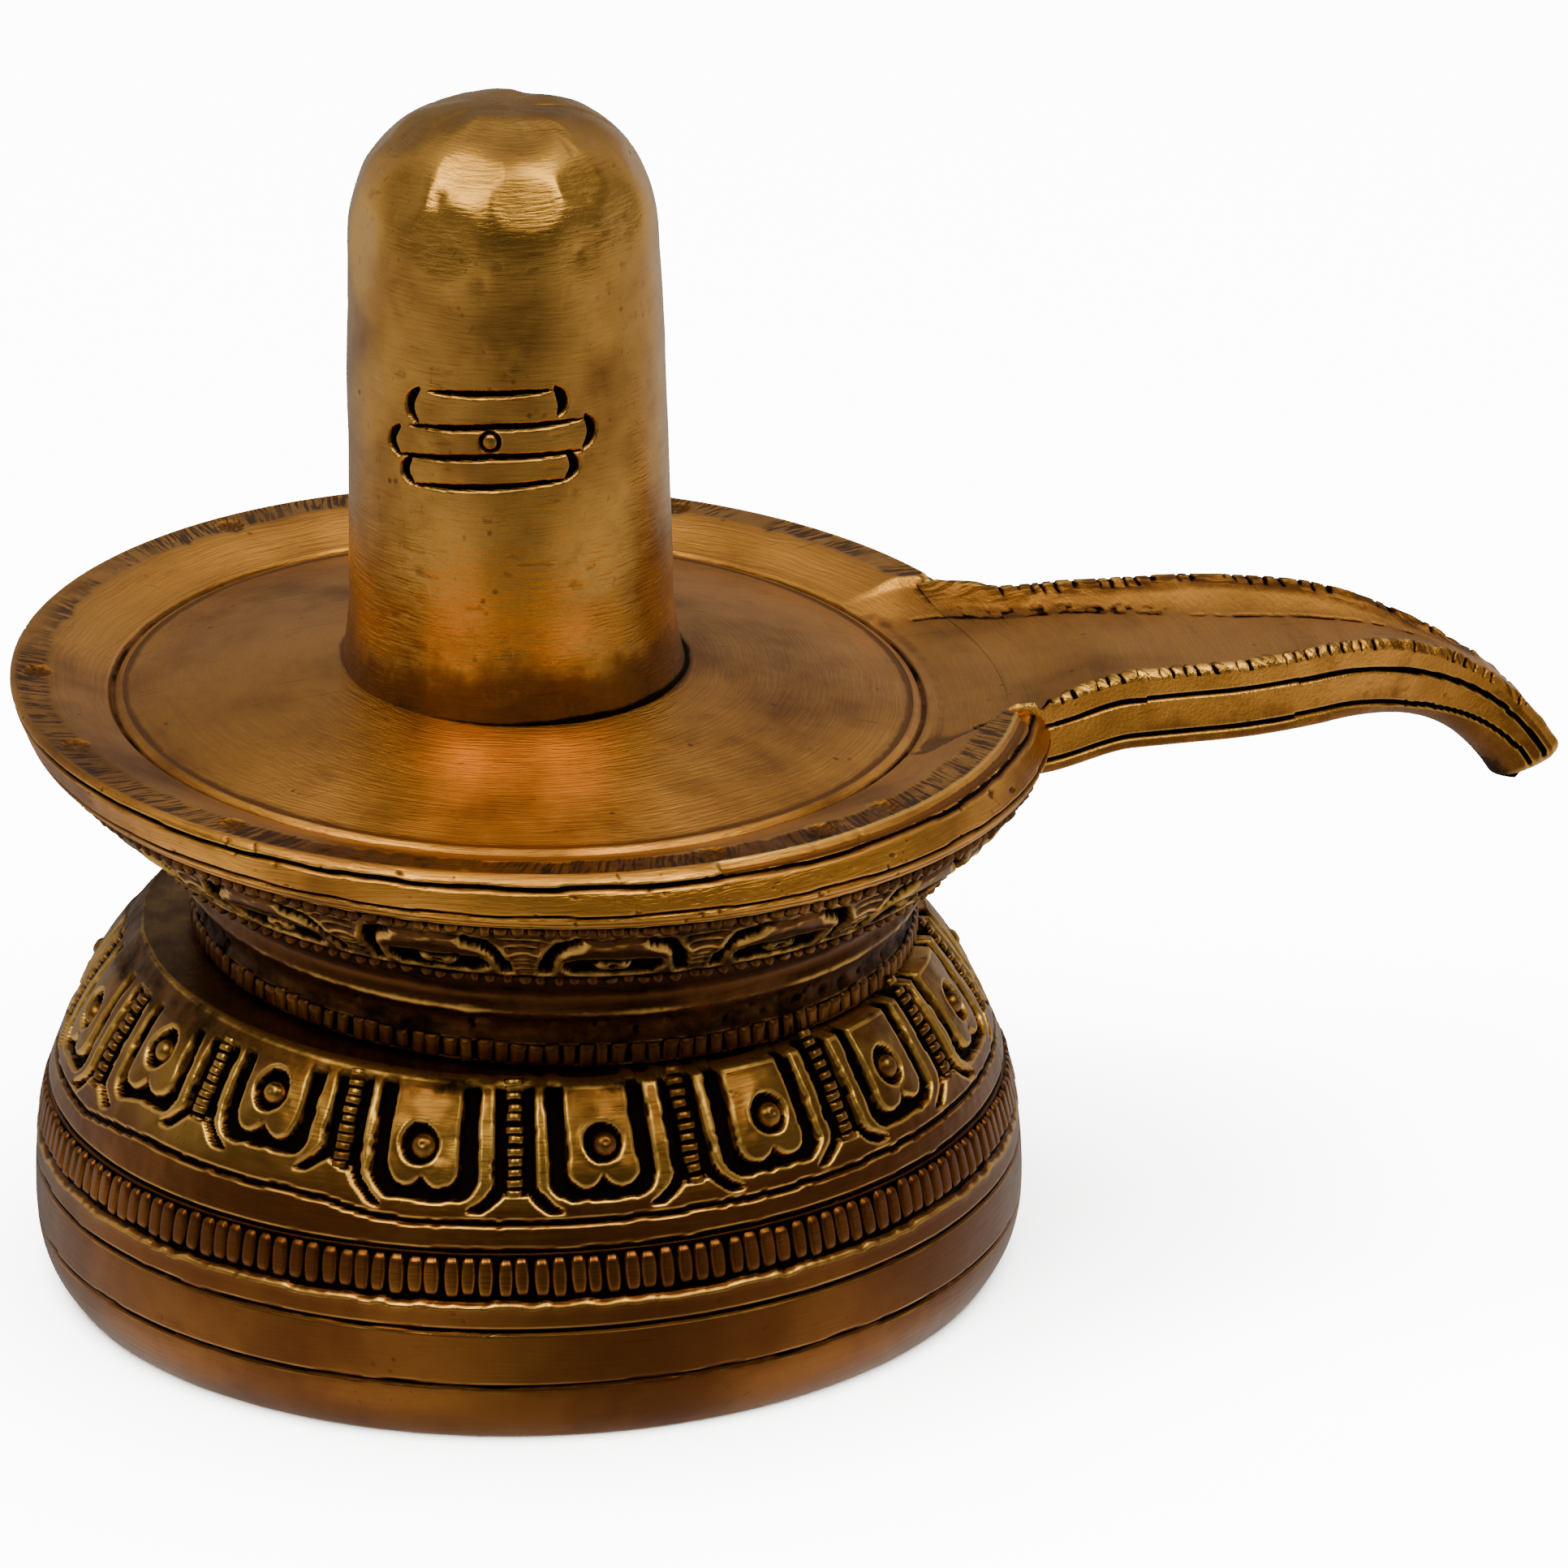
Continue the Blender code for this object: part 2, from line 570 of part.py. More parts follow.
def make_yoni_tray(parts, cutters, material):
    tray = mesh_object("yoni_tray", dish_body(), parts)
    tray.data.materials.append(material)
    cut(tray, mesh_object("spout_body", spout_body(), cutters), "UNION")
    cut(tray, mesh_object("channel_cutter", spout_channel(), cutters))
    cut(tray, mesh_object("spout_line_cutter", spout_lines(), cutters))
    cut(tray, mesh_object("scroll_cutter", settled(scroll_hollows()), cutters))
    cut(tray, mesh_object("foot_notch_cutter", settled(foot_notches()), cutters))
    cut(tray, mesh_object("seat_cutter", shaft_seat(), cutters))
    return tray


def shaft_radius(height):
    """The shaft flares at its foot, tapers a little and ends in a blunt dome."""
    rise = height - SHAFT_BOTTOM
    dome_start = SHAFT_HEIGHT - DOME_HEIGHT
    if rise > dome_start:
        share = min((rise - dome_start) / DOME_HEIGHT, 1.0)
        return SHAFT_TOP_RADIUS * (1 - share**DOME_SQUARENESS) ** (1 / DOME_SQUARENESS)
    taper = SHAFT_RADIUS + (SHAFT_TOP_RADIUS - SHAFT_RADIUS) * (rise / dome_start) ** 2
    foot = max(1 - rise / SHAFT_FOOT_FLARE, 0.0) ** 2
    return taper + (SHAFT_FOOT_RADIUS - SHAFT_RADIUS) * foot


def mark_grooves():
    """Two cutters: four level grooves, and a curved end on each side of each band with the dot's ring."""
    lines = bmesh.new()
    ends = bmesh.new()
    middle = SHAFT_BOTTOM + MARK_RISE
    there = shaft_radius(middle)
    band = MARK_BAND_HEIGHT
    levels = [middle + 1.5 * band, middle + 0.5 * band, middle - 0.5 * band, middle - 1.5 * band]
    widths = MARK_BAND_WIDTHS
    runs = [widths[0], widths[1], widths[1], widths[2]]
    for level, run in zip(levels, runs):
        half = run / 2 / there
        angles = [MARK_ANGLE + half * step / 2 for step in range(-2, 3)]
        chase(lines, shaft_radius, [(a, level) for a in angles], MARK_GROOVE_WIDTH, MARK_GROOVE_DEPTH)
    for row, width in enumerate(widths):
        for side in (-1, 1):
            edge = width / 2 + 0.8 * MM
            arc = []
            for share in (0.18, 0.5, 0.82):
                bulge = 0.45 * MM * math.sin(math.pi * share)
                arc.append((MARK_ANGLE + side * (edge + bulge) / there, levels[row] - share * band))
            chase(ends, shaft_radius, arc, MARK_GROOVE_WIDTH, MARK_GROOVE_DEPTH)
    dot = ring_path(shaft_radius, MARK_ANGLE, middle, MARK_DOT_RADIUS)
    chase(ends, shaft_radius, dot, MARK_GROOVE_WIDTH * 0.6, MARK_GROOVE_DEPTH, closed=True)
    return lines, ends


def make_lingam(parts, cutters, material):
    dome_start = SHAFT_BOTTOM + SHAFT_HEIGHT - DOME_HEIGHT
    dome_steps = 6
    profile = []
    for index in range(dome_steps + 1):
        turn = math.pi / 2 * (1 - index / dome_steps)
        height = dome_start + DOME_HEIGHT * math.sin(turn)
        profile.append((0 if index == 0 else shaft_radius(height), height))
    body = dome_start - SHAFT_BOTTOM
    for share in (0.66, 0.4, 0.17, 0.08, 0):
        height = SHAFT_BOTTOM + share * body
        profile.append((shaft_radius(height), height))
    profile.append((0, SHAFT_BOTTOM))
    shaft = turned("lingam", profile, STEPS_SHAFT, material, parts)
    shaft.location.x = SHAFT_OFFSET
    for name, shape in zip(("mark_line_cutter", "mark_end_cutter"), mark_grooves()):
        cutter = mesh_object(name, shape, cutters)
        cutter.location.x = SHAFT_OFFSET
        cut(shaft, cutter)
    return shaft


def main():
    clear_scene()
    parts = new_collection("shiva_lingam")
    cutters = new_collection("cutters")
    base = make_lotus_base(parts, cutters, brass("base_brass", (0.42, 0.26, 0.07), 0.38))
    tray = make_yoni_tray(parts, cutters, brass("tray_brass", (0.55, 0.33, 0.09), 0.3))
    shaft = make_lingam(parts, cutters, brass("shaft_brass", (0.6, 0.38, 0.12), 0.28))
    for item in (base, tray, shaft):
        item.data.shade_smooth()
    bpy.context.view_layer.update()


main()
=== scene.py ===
"""The brass shiva lingam as the photograph shows it: chased relief, worn edges and dark hollows.

Lengths are in metres and the frame is the part's own. The dish's pieces are made upright and
then settled, which leans and skews them as the casting does.
"""

import math

import bpy
import numpy as np
from mathutils import Matrix, Vector


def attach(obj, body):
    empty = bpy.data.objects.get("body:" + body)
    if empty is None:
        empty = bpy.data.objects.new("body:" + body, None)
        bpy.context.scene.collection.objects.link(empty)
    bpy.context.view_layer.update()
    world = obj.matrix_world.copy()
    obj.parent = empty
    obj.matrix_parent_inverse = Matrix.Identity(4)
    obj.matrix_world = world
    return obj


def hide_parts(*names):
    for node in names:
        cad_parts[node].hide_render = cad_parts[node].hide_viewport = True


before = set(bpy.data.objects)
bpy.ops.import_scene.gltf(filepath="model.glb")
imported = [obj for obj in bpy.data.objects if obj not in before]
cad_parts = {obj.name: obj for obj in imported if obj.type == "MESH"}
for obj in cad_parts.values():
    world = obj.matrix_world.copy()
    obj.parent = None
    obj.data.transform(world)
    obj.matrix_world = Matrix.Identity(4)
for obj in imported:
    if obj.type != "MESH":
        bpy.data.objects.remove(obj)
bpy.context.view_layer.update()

MM = 0.001
TAU = 2 * math.pi
CLEARANCE = 0.3 * MM

# The base.
BASE_FOOT_RADIUS = 39.4 * MM
BASE_BELLY_RADIUS = 41.5 * MM
BASE_BELLY_HEIGHT = 7.0 * MM
BASE_SHOULDER_RADIUS = 32.9 * MM
BASE_HEIGHT = 29.4 * MM
FOOT_LINES = (5.3 * MM, 10.2 * MM)
RIDGE_BAND = (13.1 * MM, 16.3 * MM)
RIDGE_COUNT = 172
PETAL_LINE = 18.9 * MM
PETAL_COUNT = 16
PETAL_LOW = 20.4 * MM
PETAL_HIGH = 28.6 * MM
DOT_HEIGHT = 24.5 * MM
RUNG_COUNT = 11

# The dish, before it leans.
LEAN = (math.tan(math.radians(-2.0)), math.tan(math.radians(1.76)))
FOOT_CENTRE = (2.5 * MM, -0.8 * MM)
RIM_CENTRE = (0.1 * MM, 0.75 * MM)
SHIFT_CURVE = 6
FOOT_HEIGHT = BASE_HEIGHT + CLEARANCE
RIM_RISE = 21.4 * MM
RIM_HEIGHT = FOOT_HEIGHT + RIM_RISE
RIM_RADIUS = 41.9 * MM
RIM_WALL = 4.2 * MM
RIM_BULGE = 0.8 * MM
RIM_WIDTH = 3.4 * MM
RIM_LINES = (0.9 * MM, 3.1 * MM)
DISH_RING = 33.6 * MM
DISH_DEPTH = 1.9 * MM
DISH_CROWN = 3.5 * MM
FOOT_RING = 31 * MM
SCROLL_BAND = (10.0 * MM, 15.8 * MM)
SCROLL_COUNT = 16
SCROLL_START = math.radians(-103.4)
SCROLL_RADIUS = 37 * MM
RIM_LAND = 38.9 * MM
RIM_CREST = 41.6 * MM
# Where rosettes are punched into the rim, in degrees round it.
ROSETTES = (-165, 172, 118, -135, -77, -62, -52, 85, 20, 60)
MOUTH_FILLET = 2.0 * MM

# The spout.
SPOUT_HEIGHT = 50.6 * MM
SPOUT_THICKNESS = 6.6 * MM
SPOUT_LEVEL = (41.6 * MM, 50.0 * MM)
SPOUT_LINES = (2.3 * MM, 5.3 * MM)
SPOUT_HALF = 11.6 * MM
SPOUT_SIDE = 1.4 * MM
SPOUT_TIP_HALF = 3.2 * MM
SPOUT_TIP_THINNER = 0.7 * MM
SPOUT_TAPER = (57.0 * MM, 86.5 * MM)
SPOUT_FLARE = 3.6 * MM
SPOUT_FLARE_START = 39.5 * MM
SPOUT_FLARE_LENGTH = 7 * MM
SPOUT_BEND_START = 66.8 * MM
SPOUT_BEND_RADIUS = 24.5 * MM
SPOUT_RUN_END = SPOUT_BEND_START + SPOUT_BEND_RADIUS * math.radians(60)
SPOUT_CLOSE = 1.5 * MM
SPOUT_LIP = 0.35 * MM
SPOUT_ROOT = 38.0 * MM
SPOUT_ROOT_LENGTH = 6 * MM
SPOUT_ROOT_RADIUS = 40.7 * MM
SPOUT_SINK = 0.8 * MM
NICK_PITCH = 1.1 * MM
CHANNEL_START = 18 * MM
CHANNEL_END = 84.0 * MM
CHANNEL_FADE = 14 * MM
CHANNEL_HOLLOW = 1.7
NEAR_LAND = 1.1 * MM
# The feet of the channel's two walls, as (run, across) in mm.
FAR_FOOT = (
    (20, 5),
    (27, 8),
    (31, 10),
    (34.5, 11.9),
    (38, 12.6),
    (44.2, 11.6),
    (53.4, 9),
    (61, 6.4),
    (70, 4.3),
    (84, 1),
)
NEAR_FOOT = (
    (20, -5),
    (27, -12.5),
    (31, -14),
    (35, -12.2),
    (38, -9.8),
    (44, -8.2),
    (53, -7.6),
    (61, -6.3),
    (70, -4.2),
    (84, -0.6),
)

# The shaft.
SHAFT_OFFSET = -0.4 * MM
SHAFT_FOOT = 14.4 * MM
SHAFT_RADIUS = 13.4 * MM
SHAFT_TOP = 12.8 * MM
SHAFT_HEIGHT = 49.3 * MM
SHAFT_FLARE = 8.0 * MM
DOME_HEIGHT = 12.8 * MM
DOME_SQUARENESS = 2.5
SEAT_RADIUS = SHAFT_FOOT + CLEARANCE
CROWN_HEIGHT = RIM_HEIGHT - DISH_DEPTH + DISH_CROWN
SHAFT_BOTTOM = CROWN_HEIGHT - SEAT_RADIUS * math.hypot(*LEAN) - 0.3 * MM + CLEARANCE


def step(x, low, high):
    """0 below low, 1 above high, and smooth between."""
    t = np.clip((x - low) / (high - low), 0, 1)
    return t * t * (3 - 2 * t)


def between(x, start, full, fade, end):
    """1 from full to fade, and 0 before start and after end."""
    return step(x, start, full) * (1 - step(x, fade, end))


def most(*layers):
    """The largest of several layers at each point."""
    return np.maximum.reduce(np.broadcast_arrays(*layers))


def hill(x, middle, width):
    return np.exp(-(((x - middle) / width) ** 2))


def noise(u, v, seed, around=0):
    """Smooth noise from -1 to 1. It repeats along u after that many cells, if around is given."""
    size = around or 509
    table = np.random.default_rng(seed).uniform(-1, 1, (size, 509))
    u, v = np.broadcast_arrays(u, v)
    iu, iv = np.floor(u).astype(int), np.floor(v).astype(int)
    fu, fv = step(u - iu, 0, 1), step(v - iv, 0, 1)
    near = table[iu % size, iv % 509] * (1 - fv) + table[iu % size, (iv + 1) % 509] * fv
    far = table[(iu + 1) % size, iv % 509] * (1 - fv) + table[(iu + 1) % size, (iv + 1) % 509] * fv
    return near * (1 - fu) + far * fu


def ragged(angle, height, seed, size=MM, radius=40 * MM):
    """Two layers of noise over a turned surface, with cells of about that size."""
    around = max(int(TAU * radius / size), 3)
    u = angle / TAU * around
    first = noise(u, height / size, seed, around)
    return 0.65 * first + 0.35 * noise(2.3 * u, 2.3 * height / size + 7, seed + 1)


def line_cut(distance, width, soft=0.35):
    """1 in the bed of a cut, falling to 0 at its edges."""
    return 1 - step(np.abs(distance), 0.5 * width * (1 - soft), 0.5 * width)


def stroke(x, y, path, width, soft):
    """A cut along a path that thins out towards its two ends."""
    nearest = polyline_distance(x, y, path)
    (ax, ay), (bx, by) = path[0], path[-1]
    share = ((x - ax) * (bx - ax) + (y - ay) * (by - ay)) / ((bx - ax) ** 2 + (by - ay) ** 2)
    taper = np.sqrt(np.clip(1 - (2 * share - 1) ** 2, 0.02, 1))
    return 1 - step(nearest / taper, 0.5 * width * (1 - soft), 0.5 * width)


def arc_through(path, count=9):
    """Points of the smooth curve that passes through three."""
    (ax, ay), (bx, by), (cx, cy) = path
    points = []
    for t in np.linspace(0, 1, count):
        first, middle, last = (1 - t) * (1 - 2 * t), 4 * t * (1 - t), t * (2 * t - 1)
        points.append((first * ax + middle * bx + last * cx, first * ay + middle * by + last * cy))
    return points


def polyline_distance(x, y, path):
    """The distance from each point to a line through the given points."""
    nearest = np.full(x.shape, np.inf)
    for (ax, ay), (bx, by) in zip(path, path[1:]):
        dx, dy = bx - ax, by - ay
        share = np.clip(((x - ax) * dx + (y - ay) * dy) / (dx * dx + dy * dy), 0, 1)
        nearest = np.minimum(nearest, np.hypot(x - ax - share * dx, y - ay - share * dy))
    return nearest


def rounded_box(x, y, half_width, low, high, corner):
    """The signed distance to an upright box with round corners, negative inside."""
    dx = np.abs(x) - half_width + corner
    dy = np.maximum(low + corner - y, y - high + corner)
    outside = np.hypot(np.maximum(dx, 0), np.maximum(dy, 0))
    return outside + np.minimum(np.maximum(dx, dy), 0) - corner


def settle(points, inside=False):
    """Points of the upright dish, moved to where the leaning and skewed casting has them."""
    across = np.array((1, 0, LEAN[0])) / math.hypot(1, LEAN[0])
    along = np.array((0, 1, LEAN[1])) / math.hypot(1, LEAN[1])
    rise = points[..., 2] - FOOT_HEIGHT
    share = np.clip(rise / RIM_RISE, 0, 1) ** SHIFT_CURVE
    share = np.where(inside, 1.0, share)
    x = FOOT_CENTRE[0] + (RIM_CENTRE[0] - FOOT_CENTRE[0]) * share
    y = FOOT_CENTRE[1] + (RIM_CENTRE[1] - FOOT_CENTRE[1]) * share
    centre = np.stack([x, y, FOOT_HEIGHT + rise + LEAN[0] * x + LEAN[1] * y], -1)
    return centre + points[..., :1] * across + points[..., 1:2] * along


def grid_mesh(name, points, dark, wrap=True, cap_first=False, cap_last=False, filed=0.0):
    """A mesh from rows of points. The last column joins the first where wrap is set."""
    rows, columns = points.shape[:2]
    index = np.arange(rows * columns).reshape(rows, columns)
    right = np.roll(index, -1, 1) if wrap else index[:, 1:]
    left = index if wrap else index[:, :-1]
    quads = np.stack([left[:-1], right[:-1], right[1:], left[1:]], -1).reshape(-1, 4)
    faces = quads.tolist()
    if cap_first:
        faces.append(index[0, ::-1].tolist())
    if cap_last:
        faces.append(index[-1].tolist())
    mesh = bpy.data.meshes.new(name)
    mesh.from_pydata(points.reshape(-1, 3).tolist(), [], faces)
    mesh.update()
    mesh.shade_smooth()
    for label, values in (("dark", dark), ("filed", filed)):
        layer = mesh.attributes.new(label, "FLOAT", "POINT")
        layer.data.foreach_set("value", np.broadcast_to(values, (rows, columns)).ravel().astype(np.float32))
    item = bpy.data.objects.new(name, mesh)
    bpy.context.scene.collection.objects.link(item)
    return item


def relax(points, edges, rounds):
    count = np.maximum(np.bincount(edges.ravel(), minlength=len(points)), 1)
    for _ in range(rounds):
        total = np.empty_like(points)
        for axis in range(3):
            column = points[:, axis]
            total[:, axis] = np.bincount(edges[:, 0], column[edges[:, 1]], len(points))
            total[:, axis] += np.bincount(edges[:, 1], column[edges[:, 0]], len(points))
        points = 0.4 * points + 0.6 * total / count[:, None]
    return points


def mark_proud_and_hollow(item, fine=5, broad=45):
    """Stores how far each point stands proud of, or lies below, the surface round it, in mm."""
    mesh = item.data
    points = np.empty(3 * len(mesh.vertices))
    mesh.vertices.foreach_get("co", points)
    points = points.reshape(-1, 3)
    normals = np.empty(3 * len(mesh.vertices), np.float32)
    mesh.vertex_normals.foreach_get("vector", normals)
    normals = normals.reshape(-1, 3)
    edges = np.empty(2 * len(mesh.edges), np.int32)
    mesh.edges.foreach_get("vertices", edges)
    edges = edges.reshape(-1, 2)
    for name, rounds in (("proud", fine), ("broad", broad)):
        gap = ((points - relax(points, edges, rounds)) * normals).sum(1) / MM
        layer = mesh.attributes.new(name, "FLOAT", "POINT")
        layer.data.foreach_set("value", gap.astype(np.float32))


class Wiring:
    """Short calls for the nodes of one tree."""

    def __init__(self, tree):
        self.tree = tree

    def node(self, kind, **settings):
        made = self.tree.nodes.new(kind)
        for key, value in settings.items():
            setattr(made, key, value)
        return made

    def feed(self, socket, value):
        if isinstance(value, bpy.types.NodeSocket):
            self.tree.links.new(value, socket)
        else:
            socket.default_value = value

    def run(self, kind, feeds, output, **settings):
        """Adds a node, feeds its sockets by name and returns the named output."""
        made = self.node(kind, **settings)
        for label, value in feeds.items():
            self.feed(made.inputs[label], value)
        return made.outputs[output]

    def math(self, operation, first, second=0.0, clamp=False):
        made = self.node("ShaderNodeMath", operation=operation, use_clamp=clamp)
        self.feed(made.inputs[0], first)
        self.feed(made.inputs[1], second)
        return made.outputs[0]

    def ramp(self, value, low, high, start=0.0, end=1.0):
        made = self.node("ShaderNodeMapRange", interpolation_type="SMOOTHSTEP")
        for socket, given in zip(made.inputs[:5], (value, low, high, start, end)):
            self.feed(socket, given)
        return made.outputs[0]

    def noise(self, vector, scale, detail=2.0, roughness=0.5):
        made = self.node("ShaderNodeTexNoise")
        self.feed(made.inputs["Vector"], vector)
        self.feed(made.inputs["Scale"], scale)
        self.feed(made.inputs["Detail"], detail)
        self.feed(made.inputs["Roughness"], roughness)
        return made.outputs["Fac"]

    def mix(self, share, first, second):
        made = self.node("ShaderNodeMix", data_type="RGBA")
        self.feed(made.inputs["Factor"], share)
        self.feed(made.inputs[6], first)
        self.feed(made.inputs[7], second)
        return made.outputs[2]

    def attribute(self, name):
        return self.node("ShaderNodeAttribute", attribute_name=name).outputs["Fac"]

    def place(self):
        return self.node("ShaderNodeTexCoord").outputs["Object"]


# Geometry Nodes that set small pieces round a turned surface


def stud_tree():
    """Sets one stud on each point of a mesh, turned by its two stored directions."""
    tree = bpy.data.node_groups.new("studs", "GeometryNodeTree")
    sockets = (
        ("Geometry", "NodeSocketGeometry"),
        ("Stud", "NodeSocketObject"),
        ("Size Spread", "NodeSocketFloat"),
        ("Turn Spread", "NodeSocketFloat"),
        ("Seed", "NodeSocketInt"),
        ("Finish", "NodeSocketMaterial"),
    )
    for name, kind in sockets:
        tree.interface.new_socket(name, in_out="INPUT", socket_type=kind)
    tree.interface.new_socket("Geometry", in_out="OUTPUT", socket_type="NodeSocketGeometry")
    w = Wiring(tree)
    vector = "FLOAT_VECTOR"
    given = w.node("NodeGroupInput").outputs
    points = w.run("GeometryNodeMeshToPoints", {"Mesh": given["Geometry"]}, "Points")
    facing = (0, 0, 0)
    for name, axis, pivot in (("out", "Z", "AUTO"), ("up", "Y", "Z")):
        stored = w.run("GeometryNodeInputNamedAttribute", {"Name": name}, "Attribute", data_type=vector)
        feeds = {"Rotation": facing, "Vector": stored}
        facing = w.run("FunctionNodeAlignRotationToVector", feeds, "Rotation", axis=axis, pivot_axis=pivot)
    spread, seed = given["Size Spread"], given["Seed"]
    limits = {"Min": w.math("SUBTRACT", 1.0, spread), "Max": w.math("ADD", 1.0, spread), "Seed": seed}
    size = w.run("FunctionNodeRandomValue", limits, "Value", data_type=vector)
    spread = given["Turn Spread"]
    limits = {"Min": w.math("MULTIPLY", spread, -1.0), "Max": spread, "Seed": seed}
    twist = w.run("FunctionNodeRandomValue", limits, "Value", data_type=vector)
    twist = w.run("FunctionNodeEulerToRotation", {"Euler": twist}, "Rotation")
    feeds = {"Rotation": facing, "Rotate By": twist}
    facing = w.run("FunctionNodeRotateRotation", feeds, "Rotation", rotation_space="LOCAL")
    stud = w.run("GeometryNodeObjectInfo", {"Object": given["Stud"]}, "Geometry")
    feeds = {"Points": points, "Instance": stud, "Rotation": facing, "Scale": size}
    placed = w.run("GeometryNodeInstanceOnPoints", feeds, "Instances")
    real = w.run("GeometryNodeRealizeInstances", {"Geometry": placed}, "Geometry")
    finished = w.run("GeometryNodeSetMaterial", {"Geometry": real, "Material": given["Finish"]}, "Geometry")
    w.feed(w.node("NodeGroupOutput").inputs["Geometry"], finished)
    return tree


def set_studs(name, tree, stud, places, material, size_spread, turn_spread, seed):
    """Runs the studs tree on (point, out, up) places and keeps the result as a plain mesh."""
    where, out, up = (np.array(column) for column in zip(*places))
    mesh = bpy.data.meshes.new(name + "_places")
    mesh.from_pydata(where.tolist(), [], [])
    for label, values in (("out", out), ("up", up)):
        layer = mesh.attributes.new(label, "FLOAT_VECTOR", "POINT")
        layer.data.foreach_set("vector", values.ravel().astype(np.float32))
    holder = bpy.data.objects.new(name + "_places", mesh)
    bpy.context.scene.collection.objects.link(holder)
    maker = holder.modifiers.new("studs", "NODES")
    maker.node_group = tree
    inputs = {
        "Stud": stud,
        "Size Spread": size_spread,
        "Turn Spread": turn_spread,
        "Seed": seed,
        "Finish": material,
    }
    for socket in tree.interface.items_tree:
        if socket.in_out == "INPUT" and socket.name in inputs:
            maker[socket.identifier] = inputs[socket.name]
    graph = bpy.context.evaluated_depsgraph_get()
    made = bpy.data.meshes.new_from_object(holder.evaluated_get(graph))
    made.name = name
    made.shade_smooth()
    bpy.data.objects.remove(holder)
    bpy.data.objects.remove(stud)
    item = bpy.data.objects.new(name, made)
    bpy.context.scene.collection.objects.link(item)
    return item


def stud_mesh(name, width, height, depth, waist=1.0, steps=(6, 8), roundness=2.6, sink=0.4):
    """A rounded stud with its face along +Z. Below 1, waist narrows its two ends."""
    across, along = (np.linspace(-1, 1, count + 1) for count in steps)
    u, v = np.meshgrid(across, along)
    flat = np.clip(1 - np.abs(u) ** roundness, 0, 1) * np.clip(1 - np.abs(v) ** (2 * roundness), 0, 1)
    narrow = waist + (1 - waist) * (1 - np.abs(v) ** 2.5)
    points = np.stack([u * narrow * width / 2, v * height / 2, depth * (flat**0.5 - sink)], -1)
    return grid_mesh(name, points, 0.9 * (1 - step(flat**0.5, sink, sink + 0.3)), wrap=False)


# The base


def base_radius(height):
    low = np.clip((BASE_BELLY_HEIGHT - height) / BASE_BELLY_HEIGHT, 0, 1)
    high = np.clip((height - BASE_BELLY_HEIGHT) / (BASE_HEIGHT - BASE_BELLY_HEIGHT), 0, 2)
    foot = (BASE_BELLY_RADIUS - BASE_FOOT_RADIUS) * low**3.0
    return BASE_BELLY_RADIUS - foot - (BASE_BELLY_RADIUS - BASE_SHOULDER_RADIUS) * high**2.2


def skin(radius_at, angle, height):
    """The point on a turned surface, and its outward and upward directions there."""
    gap = 0.05 * MM
    slope = (radius_at(height + gap) - radius_at(height - gap)) / (2 * gap)
    ray = np.stack([np.cos(angle), np.sin(angle), 0 * angle], -1)
    up = ray * slope[..., None] + np.array((0, 0, 1.0))
    up /= np.linalg.norm(up, axis=-1, keepdims=True)
    side = np.stack([-np.sin(angle), np.cos(angle), 0 * angle], -1)
    out = np.cross(side, up)
    return ray * radius_at(height)[..., None] + height[..., None] * np.array((0, 0, 1.0)), out, up


def petal_lift(angle):
    """The petals on one side were chased shorter, with their feet higher up."""
    turn = np.degrees(angle) % 360
    return 2.0 * MM * between(turn, 190, 205, 232, 244)


